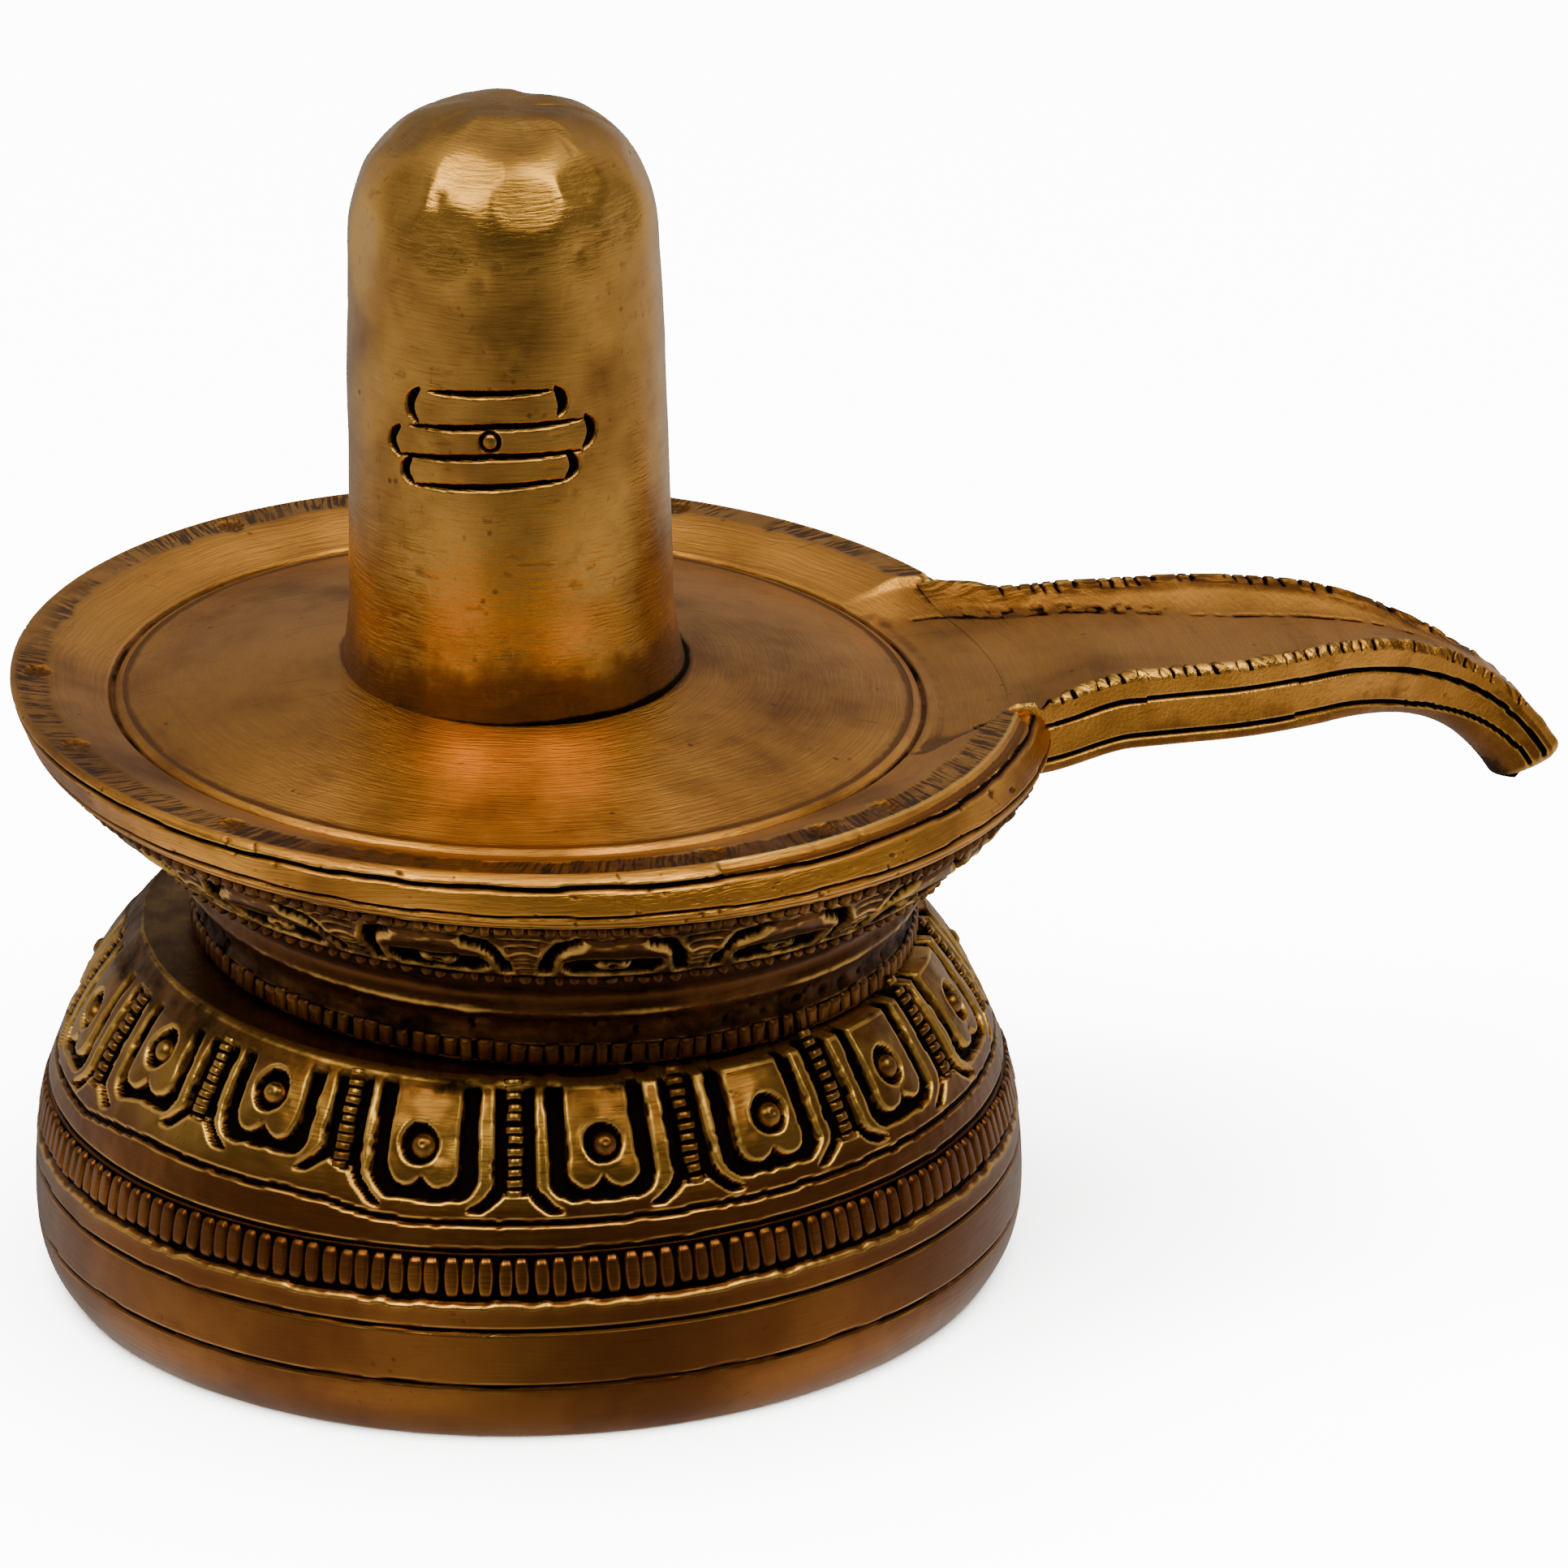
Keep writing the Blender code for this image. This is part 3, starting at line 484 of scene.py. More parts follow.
def petal_relief(angle, height):
    """Depth and darkness of the chased petals, with the strips between them, and painted shade at their tops
    under the dish.
    """
    pitch = TAU / PETAL_COUNT
    index = np.round(angle / pitch)
    rng = np.random.default_rng(11)
    hand = rng.uniform(-1, 1, (PETAL_COUNT, 6))[index.astype(int) % PETAL_COUNT]
    reference = base_radius(np.array(DOT_HEIGHT))
    lift = petal_lift(angle)
    x = (angle - index * pitch) * reference + 0.22 * MM * ragged(angle, height, 3, 3 * MM)
    x = x - 0.25 * MM * hand[..., 0]
    z = height - lift + 0.15 * MM * ragged(angle, height, 5, 2.5 * MM)
    edge = 0.14 * MM * ragged(angle, height, 8, 0.8 * MM)
    outer = rounded_box(x, z, (4.35 + 0.15 * hand[..., 4]) * MM, PETAL_LOW, 40 * MM, 1.9 * MM) + edge
    low = PETAL_LOW + (0.95 + 0.1 * hand[..., 2]) * MM
    trunk = np.maximum(np.abs(x) - (2.85 + 0.15 * hand[..., 1]) * MM, low + 1.45 * MM - z)
    lobes = np.hypot(np.abs(x) - 1.42 * MM, z - low - 1.45 * MM) - 1.45 * MM
    tongue = np.minimum(trunk, lobes) - 0.6 * edge
    groove = step(-outer, -0.05 * MM, 0.28 * MM) * step(tongue, -0.05 * MM, 0.28 * MM)
    near = (pitch / 2) * reference - np.abs(angle - index * pitch) * reference
    tail_share = np.clip((21.9 * MM - z) / (2.2 * MM), 0, 1)
    strip_at = 1.22 * MM + 2.0 * MM * tail_share**1.8
    strip = line_cut(near - strip_at + edge, 1.15 * MM + 0.3 * MM * tail_share, 0.4)
    strip = strip * step(z, PETAL_LOW - 0.9 * MM, PETAL_LOW - 0.5 * MM)
    fade = 1 - step(height, PETAL_HIGH - 0.6 * MM, PETAL_HIGH + 0.2 * MM)
    cut = np.maximum(groove, strip) * fade
    sway = 0.5 * lift + 0.14 * MM * ragged(angle, height * 0, 21, 1.5 * MM)
    line = line_cut(height - PETAL_LINE - sway, 0.62 * MM, 0.5)
    ring = line_cut(height - 16.75 * MM - 0.06 * MM * ragged(angle, height * 0, 23, 2 * MM), 0.5 * MM)
    dot_x = x - 0.35 * MM * hand[..., 3]
    reach = np.hypot(dot_x, (z - DOT_HEIGHT) * 1.05)
    pan = 1 - step(reach, 1.38 * MM, 1.6 * MM)
    lip = hill(reach, 1.8 * MM, 0.18 * MM) * step(-dot_x - z + DOT_HEIGHT, -MM, MM)
    belly = np.clip(-tongue / (2.5 * MM), 0, 1) ** 0.7
    strip_ground = (near < 0.75 * MM) * (z > PETAL_LOW + 0.5 * MM) * fade
    depth = 0.95 * MM * cut + 0.4 * MM * line + 0.35 * MM * ring + 0.9 * MM * pan
    depth += 0.4 * MM * strip_ground
    depth -= 0.22 * MM * belly * fade + 0.08 * MM * lip
    depth -= 0.05 * MM * ragged(angle, height, 31, 1.6 * MM) + 0.05 * MM * ragged(angle, height, 35, 3.5 * MM)
    black = step(cut, 0.15, 0.6)
    dark = np.clip(most(black, line, 0.95 * ring, step(pan, 0.1, 0.5), 0.95 * strip_ground), 0, 1)
    # Painted shade: the petals darken towards their tops, where the dish and the neck's teeth overhang them.
    wave = 0.6 * MM * ragged(angle, height, 33, 2 * MM)
    shade = 0.35 * step(height + wave, 24.0 * MM, 27.0 * MM) + 0.3 * step(height + wave, 27.2 * MM, 28.2 * MM)
    return -depth, np.maximum(dark, shade)


def make_petal_band(columns=1104, rows=70):
    """The petals, and the shoulder that runs in under the dish along the leaning joint."""
    angle = np.linspace(0, TAU, columns, endpoint=False)[None, :]
    joint = base_radius(np.array(BASE_HEIGHT)) - 0.2 * MM
    top = BASE_HEIGHT + joint * (LEAN[0] * np.cos(angle) + LEAN[1] * np.sin(angle))
    share = np.linspace(0, 1, rows)[:, None]
    height = 16.45 * MM + (top - 16.45 * MM) * share
    angle = np.broadcast_to(angle, height.shape)
    point, out, _ = skin(base_radius, angle, height)
    relief, dark = petal_relief(angle, height)
    points = point + out * relief[..., None]
    inner = []
    for radius in (31.6 * MM, 30.5 * MM, 28.5 * MM, 26 * MM):
        x, y = radius * np.cos(angle[:1]), radius * np.sin(angle[:1])
        inner.append(np.stack([x, y, BASE_HEIGHT + LEAN[0] * x + LEAN[1] * y], -1))
    points = np.concatenate([points] + inner)
    # The shoulder in under the dish gets painted shade.
    dark = np.concatenate([dark] + [np.full((1, columns), 0.4)] * len(inner))
    return grid_mesh("petal_band", points, dark, cap_last=True)


def foot_relief(angle, height):
    """The plain foot's two fine lines, and the ragged grooves that frame the ridges."""
    depth = np.zeros(height.shape)
    dark = np.zeros(height.shape)
    for seed, line in enumerate(FOOT_LINES):
        sway = 0.12 * MM * ragged(angle, 0 * height, 41 + seed, 6 * MM)
        width = (0.5 + 0.18 * ragged(angle, 0 * height, 47 + seed, 2 * MM)) * MM
        cut = line_cut(height - line - sway, width, 0.6)
        depth += 0.3 * MM * cut
        dark = np.maximum(dark, cut)
    low, high = RIDGE_BAND
    rough = 0.22 * MM * ragged(angle, height * 0, 51, 1.2 * MM)
    ground = between(height, low - 0.75 * MM + rough, low - 0.35 * MM + rough, high, high + 0.15 * MM)
    depth += 0.55 * MM * ground
    dark = np.maximum(dark, ground)
    lip = hill(height, low - 1.0 * MM + rough, 0.22 * MM)
    depth -= 0.1 * MM * lip + 0.03 * MM * ragged(angle, height, 55, 4 * MM)
    return -depth, dark


def make_foot_band(columns=660, rows=78):
    angle = np.linspace(0, TAU, columns, endpoint=False)[None, :]
    height = np.linspace(0, 16.5 * MM, rows)[:, None]
    angle, height = np.broadcast_arrays(angle, height)
    point, out, _ = skin(base_radius, angle, height)
    relief, dark = foot_relief(angle, height)
    relief = relief * step(height, 0, 0.5 * MM)
    return grid_mesh("foot_band", point + out * relief[..., None], dark, cap_first=True)


def ridge_places():
    rng = np.random.default_rng(5)
    middle = sum(RIDGE_BAND) / 2
    places = []
    for index in range(RIDGE_COUNT):
        angle = np.array(TAU * (index + rng.uniform(-0.08, 0.08)) / RIDGE_COUNT)
        height = np.array(middle + rng.uniform(-0.08, 0.08) * MM)
        point, out, up = skin(base_radius, angle, height)
        places.append((point - out * 0.12 * MM, out, up))
    return places


def rung_places():
    """The rungs up each strip between two petals."""
    places = []
    rng = np.random.default_rng(9)
    for strip in range(PETAL_COUNT):
        middle = TAU * (strip + 0.5) / PETAL_COUNT
        start = PETAL_LOW + 0.6 * MM + petal_lift(np.array(middle))
        for rung in range(RUNG_COUNT):
            share = rung / (RUNG_COUNT - 1)
            height = start + (PETAL_HIGH + 0.2 * MM - start) * share + rng.uniform(-0.1, 0.1) * MM
            angle = np.array(middle + rng.uniform(-0.1, 0.1) * MM / (38 * MM))
            point, out, up = skin(base_radius, angle, np.array(height))
            places.append((point - out * 0.15 * MM, out, up))
    return places


def bead_places():
    rng = np.random.default_rng(11)
    hand = rng.uniform(-1, 1, (PETAL_COUNT, 6))
    reference = base_radius(np.array(DOT_HEIGHT))
    places = []
    for petal in range(PETAL_COUNT):
        angle = TAU * petal / PETAL_COUNT
        height = np.array(DOT_HEIGHT + petal_lift(np.array(angle)) - 0.1 * MM)
        angle = np.array(angle + (0.35 * hand[petal, 3] + 0.25 * hand[petal, 0] + 0.2) * MM / reference)
        point, out, up = skin(base_radius, angle, height)
        places.append((point - out * 0.55 * MM, out, up))
    return places


def pitted_bead(name, radius, rings=12, sides=24):
    """A low bead with a tiny pit in its top."""
    tilt = np.linspace(0.02, 0.62 * math.pi, rings)[::-1, None]
    turn = np.linspace(0, TAU, sides, endpoint=False)[None, :]
    reach = radius * np.sin(tilt)
    rise = radius * np.cos(tilt) - 0.12 * radius * hill(tilt, 0, 0.16)
    points = np.stack([reach * np.cos(turn), reach * np.sin(turn), rise + 0 * turn], -1)
    return grid_mesh(name, points, 0.0, cap_last=True)


# The dish and its neck

NECK_ROWS = (
    # radius and rise above the foot's underside, in mm
    (28.0, -0.0),
    (30.4, 0.0),
    (30.5, 0.8),
    (30.2, 1.7),
    (29.7, 2.3),
    (29.8, 3.4),
    (30.6, 4.5),
    (31.2, 5.0),
    (30.8, 5.6),
    (30.6, 6.3),
    (31.4, 7.3),
    (33.0, 8.3),
    (34.1, 9.2),
    (35.0, 10.0),
    (36.6, 11.6),
    (38.9, 14.0),
    (40.4, 15.8),
    (41.3, 16.5),
    (41.6, 17.1),
)


def neck_line(rows):
    """Evenly spaced (radius, height) rows along the neck's profile, and directions out of it."""
    radius, rise = (np.array(column) * MM for column in zip(*NECK_ROWS))
    run = np.concatenate([[0], np.cumsum(np.hypot(np.diff(radius), np.diff(rise)))])
    at = np.linspace(0, run[-1], rows)
    r, h = np.interp(at, run, radius), np.interp(at, run, rise)
    for _ in range(3):
        r[1:-1] = (r[:-2] + 2 * r[1:-1] + r[2:]) / 4
        h[1:-1] = (h[:-2] + 2 * h[1:-1] + h[2:]) / 4
    dr, dh = np.gradient(r), np.gradient(h)
    length = np.hypot(dr, dh)
    return r, h, dh / length, -dr / length


def scroll_relief(angle, height):
    """One fan between two comma hollows, and a long hooked leaf over an eye, sixteen times."""
    pitch = TAU / SCROLL_COUNT
    low, high = SCROLL_BAND
    index = np.round((angle - SCROLL_START) / pitch)
    rng = np.random.default_rng(17)
    hand = rng.uniform(-1, 1, (SCROLL_COUNT, 4))[index.astype(int) % SCROLL_COUNT]
    local = angle - SCROLL_START - index * pitch
    x = local * SCROLL_RADIUS + 0.25 * MM * ragged(angle, height, 61, 2 * MM)
    half = pitch * SCROLL_RADIUS / 2
    # The height above the band's foot, as a share and in mm.
    share = np.clip((height - low) / (high - low), 0, 1.1)
    up = share * (high - low) / MM
    # The fan's slats, and the distance from its middle.
    from_fan = np.abs(x - 0.5 * MM * hand[..., 0] * (share - 0.5))
    fan_half = (0.85 + 1.9 * share**4) * MM
    slats = 0.5 + 0.5 * np.cos(TAU * (share * 7 + 0.3 * (x / fan_half) ** 2))
    fan = step(fan_half - from_fan, -0.1 * MM, 0.25 * MM) * step(share, 0.02, 0.1)
    hook = [(1.6, 0.7), (1.75, 2.0), (2.2, 3.4), (3.0, 4.5), (4.3, 4.95)]
    swell = 1.6 + 0.15 * hand[..., 1] - 0.45 * step(from_fan / MM, 2.4, 4.2)
    comma = line_cut(polyline_distance(from_fan / MM, up, hook), swell, 0.75)
    # The eye lies half way between two fans, with an almond in it and a square pit in that.
    from_eye = half - np.abs(x)
    eye = rounded_box(from_eye / MM, up, 4.3, 0.35, 2.75, 1.15) + 0.12 * ragged(angle, height, 65, MM)
    almond = step(1 - np.hypot(from_eye / MM / 2.1, (up - 1.5) / 0.72), 0, 0.45)
    eye_hollow = step(-eye, 0, 0.4) * (1 - almond)
    square = step(0.42 - np.maximum(from_eye / MM, np.abs(up - 1.5)), 0, 0.15)
    leaf = hill(share, 0.66 + 0.09 * np.cos(math.pi * from_eye / half), 0.13) * (1 - comma)
    upper = line_cut(share - 0.9 + 0.02 * np.sin(9 * x / half), 0.1, 0.7)
    upper = upper * step(from_fan, 3.5 * MM, 4.5 * MM)
    depth = (1.1 * comma + 0.9 * eye_hollow + 0.4 * square + 0.36 * fan * slats) * MM
    depth += (0.3 * upper - 0.3 * leaf + 0.06 * ragged(angle, height, 67, MM)) * MM
    hollow = most(step(comma, 0.1, 0.5), step(eye_hollow, 0.2, 0.6), square, 0.75 * upper)
    # The band's ground is darkened all over, partly patina and partly painted shade under the dish, with the
    # raised leaves less dark.
    dark = most(hollow, 0.85 * fan * slats, 0.62 - 0.25 * leaf)
    inside = between(height, low - 0.1 * MM, low + 0.25 * MM, high - 0.2 * MM, high + 0.1 * MM)
    return -depth * inside, dark * inside


def make_neck(columns=1000, rows=86):
    radius, rise, out_r, out_h = neck_line(rows)
    angle = np.linspace(0, TAU, columns, endpoint=False)[None, :]
    angle, level = np.broadcast_arrays(angle, rise[:, None])
    relief, dark = scroll_relief(angle, level)
    # The grounds of the foot's teeth and of the two rows of beads.
    foot = between(level, 0.05 * MM, 0.2 * MM, 1.7 * MM, 1.9 * MM)
    lower = hill(level, 9.35 * MM, 0.5 * MM)
    upper = hill(level, 16.3 * MM, 0.45 * MM)
    # A wavy ring above the foot, and punches in the hollow between them.
    wave = ragged(angle, 0 * level, 71, 5 * MM, FOOT_RING)
    ring = hill(level, 5.1 * MM, 0.5 * MM)
    punched = step(ragged(angle, level, 73, 1.3 * MM, 30 * MM), 0.38, 0.5) * hill(level, 3.1 * MM, 0.9 * MM)
    relief = relief - (0.3 * foot + 0.42 * lower + 0.42 * upper + 0.35 * punched - 0.3 * wave * ring) * MM
    relief = relief - 0.05 * MM * ragged(angle, level, 77, MM, FOOT_RING)
    dark = most(dark, 0.95 * foot, 0.85 * lower, 0.85 * upper, punched)
    # Old dirt together with painted shade under the dish, blackest in the cove and the hollow, and thin under
    # the rim.
    bent = level + 0.4 * MM * wave
    cove = between(bent, 6.4 * MM, 7.2 * MM, 9.2 * MM, 10 * MM)
    hollow = 1 - step(bent, 2.8 * MM, 5.0 * MM)
    dirt = 0.5 + 0.2 * cove + 0.18 * hollow - 0.3 * step(bent, 16 * MM, 17 * MM)
    r = radius[:, None] + relief * out_r[:, None]
    h = np.maximum(FOOT_HEIGHT + level + relief * out_h[:, None], FOOT_HEIGHT)
    points = settle(np.stack([r * np.cos(angle), r * np.sin(angle), h], -1))
    return grid_mesh("dish_neck", points, np.maximum(dark, dirt), cap_first=True, cap_last=True)


def neck_places(count, rise, radius, slope, sink, seed):
    """Places round the neck at one height, on a surface that widens upwards by slope."""
    places = []
    # The first draw of each four is spare. It keeps the others as they are.
    spread = np.random.default_rng(seed).uniform(-1, 1, (count, 4))[:, 1:]
    for index, (turn, reach, lift) in enumerate(spread):
        angle = TAU * (index + 0.14 * turn) / count
        ray = np.array((math.cos(angle), math.sin(angle), 0))
        up = np.array((ray[0] * slope, ray[1] * slope, 1.0))
        up /= np.linalg.norm(up)
        out = np.cross((-ray[1], ray[0], 0), up)
        point = ray * (radius + 0.05 * MM * reach)
        point[2] = FOOT_HEIGHT + rise + 0.06 * MM * lift
        places.append((settle(point[None, :])[0] - out * sink, out, up))
    return places


def floor_fall(radius):
    """How far the dish's top lies below the rim, from the shaft's seat out to the rim."""
    share = (radius - SEAT_RADIUS) / (DISH_RING - SEAT_RADIUS)
    floor = DISH_DEPTH - DISH_CROWN * (1 - 0.6 * share - 0.4 * share**2)
    slope = (radius - DISH_RING) / (RIM_RADIUS - RIM_WIDTH - DISH_RING)
    rise = DISH_DEPTH * (1 - step(slope, -0.15, 1.25) * 1.02)
    return np.where(radius < DISH_RING, floor, np.maximum(rise, 0))


def spout_edges(run):
    """Where the near and the far top edges of the spout run."""
    taper = step(run, *SPOUT_TAPER)
    half = SPOUT_HALF + (SPOUT_TIP_HALF - SPOUT_HALF) * taper
    middle = SPOUT_SIDE * (1 - taper)
    ahead = np.maximum(run - SPOUT_FLARE_START, 0) / SPOUT_FLARE_LENGTH
    flare = SPOUT_FLARE * np.exp(-(ahead**1.1))
    return middle - half - 0.35 * flare, middle + half + flare


def channel_feet(run):
    """Where the feet of the near and the far wall run, to the side."""
    return tuple(np.interp(run / MM, *zip(*foot)) * MM for foot in (NEAR_FOOT, FAR_FOOT))


def channel_drop(run, across):
    """How far the spout's channel lies below its edges. Its mouth widens inland of the root."""
    near, far = spout_edges(np.maximum(run, SPOUT_ROOT))
    near_foot, far_foot = channel_feet(run)
    inland = 1 - step(run, SPOUT_ROOT - 2 * MM, SPOUT_ROOT + 2 * MM)
    near = near + (np.minimum(near, near_foot - 4 * MM) - near) * inland
    far = far + (np.maximum(far, far_foot + 5 * MM) - far) * inland
    land = NEAR_LAND * between(run, 42 * MM, 46 * MM, 76 * MM, 86 * MM)
    far_wall = (far - across) / (far - far_foot)
    near_wall = (across - near - land) / (near_foot - near - land)
    wall = np.clip(np.minimum(far_wall, near_wall), 0, 1)
    depth = DISH_DEPTH * np.clip((CHANNEL_END - run) / CHANNEL_FADE, 0, 1) ** 0.7
    return depth * (1 - (1 - wall) ** CHANNEL_HOLLOW) * (run > CHANNEL_START)


def channel_foot(run, across):
    """Darkness and depth of the dirt and the punches along the feet of the channel's walls."""
    near_foot, far_foot = channel_feet(run)
    nearest = np.minimum(np.abs(across - far_foot - 0.1 * MM), np.abs(across - near_foot + 0.1 * MM))
    dirt = 1 - step(nearest, 0.12 * MM, 0.4 * MM)
    dirt = dirt * step(noise(run / (0.9 * MM), across / MM, 105), -0.6, 0.0)
    dirt = dirt * (run > 36 * MM) * (run < 78 * MM)
    spots = step(noise(run / (0.6 * MM), across / (0.4 * MM), 106), 0.15, 0.4)
    spots = spots * hill(across, far_foot + 0.8 * MM, 0.7 * MM)
    spots = spots * between(run, 38 * MM, 40 * MM, 54 * MM, 60 * MM)
    return most(0.95 * dirt, 0.9 * spots), (0.15 * dirt + 0.12 * spots) * MM


def rim_plane(x, y):
    return RIM_HEIGHT + LEAN[0] * x + LEAN[1] * y


def rim_marks(angle, radius):
    """Rosette punches and the ragged crest on the rim's flat top, its dirt, and where it is filed."""
    patches = step(ragged(angle, radius, 85, 7 * MM), -0.6, -0.1)
    front = 0.35 + 0.65 * step(np.cos(angle + math.radians(88)), 0.55, 0.9)
    inner = RIM_LAND + 0.4 * MM * ragged(angle, 0 * radius, 84, 1.2 * MM)
    band = between(radius, inner, inner + 0.5 * MM, RIM_CREST - 0.15 * MM, RIM_CREST + 0.1 * MM)
    filed = band * patches
    depth = 0.05 * MM * filed
    dark = 0 * radius
    for turn in ROSETTES:
        x = (np.mod(angle - math.radians(turn) + math.pi, TAU) - math.pi) * 40 * MM
        y = radius - 39.8 * MM
        disc = 1 - step(np.hypot(x, y), 1.0 * MM, 1.35 * MM)
        rays = 0.5 + 0.5 * np.cos(9 * np.arctan2(y, x))
        depth = depth * (1 - disc) + disc * (0.16 + 0.16 * rays) * MM
        dark = dark * (1 - disc) + disc * (0.3 + 0.4 * rays)
        filed = filed * (1 - disc)
    rough = 0.08 + 0.12 * ragged(angle, radius * 0, 91, 1.5 * MM)
    depth -= hill(radius, RIM_CREST, 0.16 * MM) * rough * MM
    stain = (0.52 + 0.25 * ragged(angle, radius, 87, 1.5 * MM)) * band * front
    return depth, np.maximum(dark, stain), filed


def dish_rows():
    """Radii across the dish's top, closer together where there is relief."""
    floor = np.linspace(13.2 * MM, 32.6 * MM, 22)
    ring = np.linspace(32.75 * MM, 34.6 * MM, 13)
    slope = np.linspace(35.0 * MM, 38.6 * MM, 10)
    top = np.linspace(38.8 * MM, 41.7 * MM, 17)
    return np.concatenate([floor, ring, slope, top])


def under_spout(angle, radius):
    """1 where the spout's root lies over the rim, and how far its far edge is filed there."""
    across = RIM_CENTRE[1] + radius * np.sin(angle)
    near, far = spout_edges(40 * MM)
    covered = between(across, near - 1.5 * MM, near, far, far + 1.5 * MM)
    covered = covered * (np.cos(angle) > 0)
    edge = step(radius, 39.5 * MM, 40.5 * MM) * step(across, far - 3 * MM, far - 2 * MM)
    return covered, 0.8 * covered * edge


def cut_mouth(radius, fall, mouth):
    """The dish's fall with the channel's mouth cut into it through a soft fillet, and 1 in the mouth."""
    beyond_ring = radius > DISH_RING + 0.5 * MM
    in_mouth = beyond_ring * step(mouth - fall, 0.0, 0.4 * MM)
    near = np.maximum(MOUTH_FILLET - np.abs(fall - mouth), 0) / MOUTH_FILLET
    fillet = near**2 * MOUTH_FILLET / 4 * step(mouth, 0.0, 0.4 * MM)
    fillet = fillet * step(DISH_DEPTH - np.minimum(fall, mouth), 0, 0.7 * MM)
    return np.where(beyond_ring, np.maximum(fall, mouth) + fillet, fall), in_mouth


def rim_wall(angle, lowered):
    """The rim's outer wall, from its crest down to the upper beads. It is lowered towards the spout."""
    depth = np.linspace(0.12 * MM, RIM_WALL, 30)[:, None]
    angle, depth = np.broadcast_arrays(angle, depth)
    radius = RIM_RADIUS + RIM_BULGE * (1 - np.abs(2 * depth / RIM_WALL - 1) ** 4)
    radius = radius - 0.14 * MM * (1 - step(depth, 0, 0.3 * MM))
    sway = 0.1 * MM * ragged(angle, 0 * depth, 95, 4 * MM)
    first = line_cut(depth - RIM_LINES[0] - sway, 0.55 * MM, 0.5)
    second = line_cut(depth - RIM_LINES[1] + sway, 0.4 * MM, 0.6)
    moulding = line_cut(depth - RIM_LINES[1] - 0.7 * MM, 0.3 * MM, 0.8)
    pits = step(ragged(angle, depth, 97, 0.7 * MM), 0.55, 0.7)
    radius = radius - (0.4 * first + 0.28 * second + 0.15 * moulding + 0.12 * pits) * MM
    dark = most(first, 0.9 * second, 0.5 * moulding, 0.6 * pits)
    points = settle(np.stack([radius * np.cos(angle), radius * np.sin(angle), RIM_HEIGHT - depth], -1))
    x, y, z = (points[..., axis] for axis in range(3))
    low = np.minimum(z, rim_plane(x, y) - channel_drop(x, y) - SPOUT_SINK)
    points[..., 2] = np.where(lowered, low, z)
    return points, dark


def make_dish(columns=920):
    angle = np.linspace(0, TAU, columns, endpoint=False)[None, :]
    a, r = np.broadcast_arrays(angle, dish_rows()[:, None])
    marks, dark, filed = rim_marks(a, r)
    covered, filed_edge = under_spout(a, r)
    filed = np.maximum(filed * (1 - covered), filed_edge)
    groove = line_cut(r - DISH_RING - 0.1 * MM, 0.7 * MM)
    ridge = hill(r, DISH_RING - 0.65 * MM, 0.22 * MM)
    fall = floor_fall(r) + 0.35 * MM * groove - 0.14 * MM * ridge + marks * (1 - covered)
    dirt = (0.72 + 0.2 * ragged(a, r, 93, 3 * MM)) * groove
    seam = 0.9 * (1 - step(r, SEAT_RADIUS - 0.1 * MM, SEAT_RADIUS + 0.25 * MM))
    dark = most(dark * (1 - 0.85 * covered), dirt, seam)
    top = settle(np.stack([r * np.cos(a), r * np.sin(a), RIM_HEIGHT + 0 * r], -1), inside=True)
    run, across = top[..., 0], top[..., 1]
    fall, in_mouth = cut_mouth(r, fall, channel_drop(run, across))
    foot_dark, foot_depth = channel_foot(run, across)
    foot_dark = foot_dark * (r > DISH_RING + 0.5 * MM) * (run > 0)
    dark = np.maximum(dark * (1 - 0.8 * in_mouth), foot_dark)
    # The dish dips below the spout where the two meet.
    fall = fall + foot_depth * (foot_dark > 0) + SPOUT_SINK * covered * step(r, 40.9 * MM, 41.3 * MM)
    top[..., 2] -= fall
    wall, wall_dark = rim_wall(angle, covered[:1] > 0.5)
    points = np.concatenate([top, wall])[::-1]
    dark = np.concatenate([dark, wall_dark])[::-1]
    filed = np.concatenate([filed, 0 * wall_dark])[::-1]
    return grid_mesh("dish_top", points, dark, cap_last=True, filed=filed)


# The spout


def spout_place(run, across, depth):
    """Points of the spout from their run along it, their distance to the side and their depth."""
    turn = np.maximum(run - SPOUT_BEND_START, 0) / SPOUT_BEND_RADIUS
    ahead = np.minimum(run, SPOUT_BEND_START) + SPOUT_BEND_RADIUS * np.sin(turn)
    drop = SPOUT_BEND_RADIUS * (1 - np.cos(turn))
    level = step(run, *SPOUT_LEVEL)
    height = rim_plane(ahead, across) * (1 - level) + SPOUT_HEIGHT * level - drop
    x = ahead - depth * np.sin(turn)
    z = height - depth * np.cos(turn)
    return np.stack([x + 0 * across, across + 0 * x, z + 0 * across], -1)


def root_run(run, across):
    """Where a point of the row at run lies along the spout. The first rows bend with the rim."""
    share = np.clip(1 - (run - SPOUT_ROOT) / SPOUT_ROOT_LENGTH, 0, 1)
    return run + share * (np.sqrt(SPOUT_ROOT_RADIUS**2 - across**2) - SPOUT_ROOT)


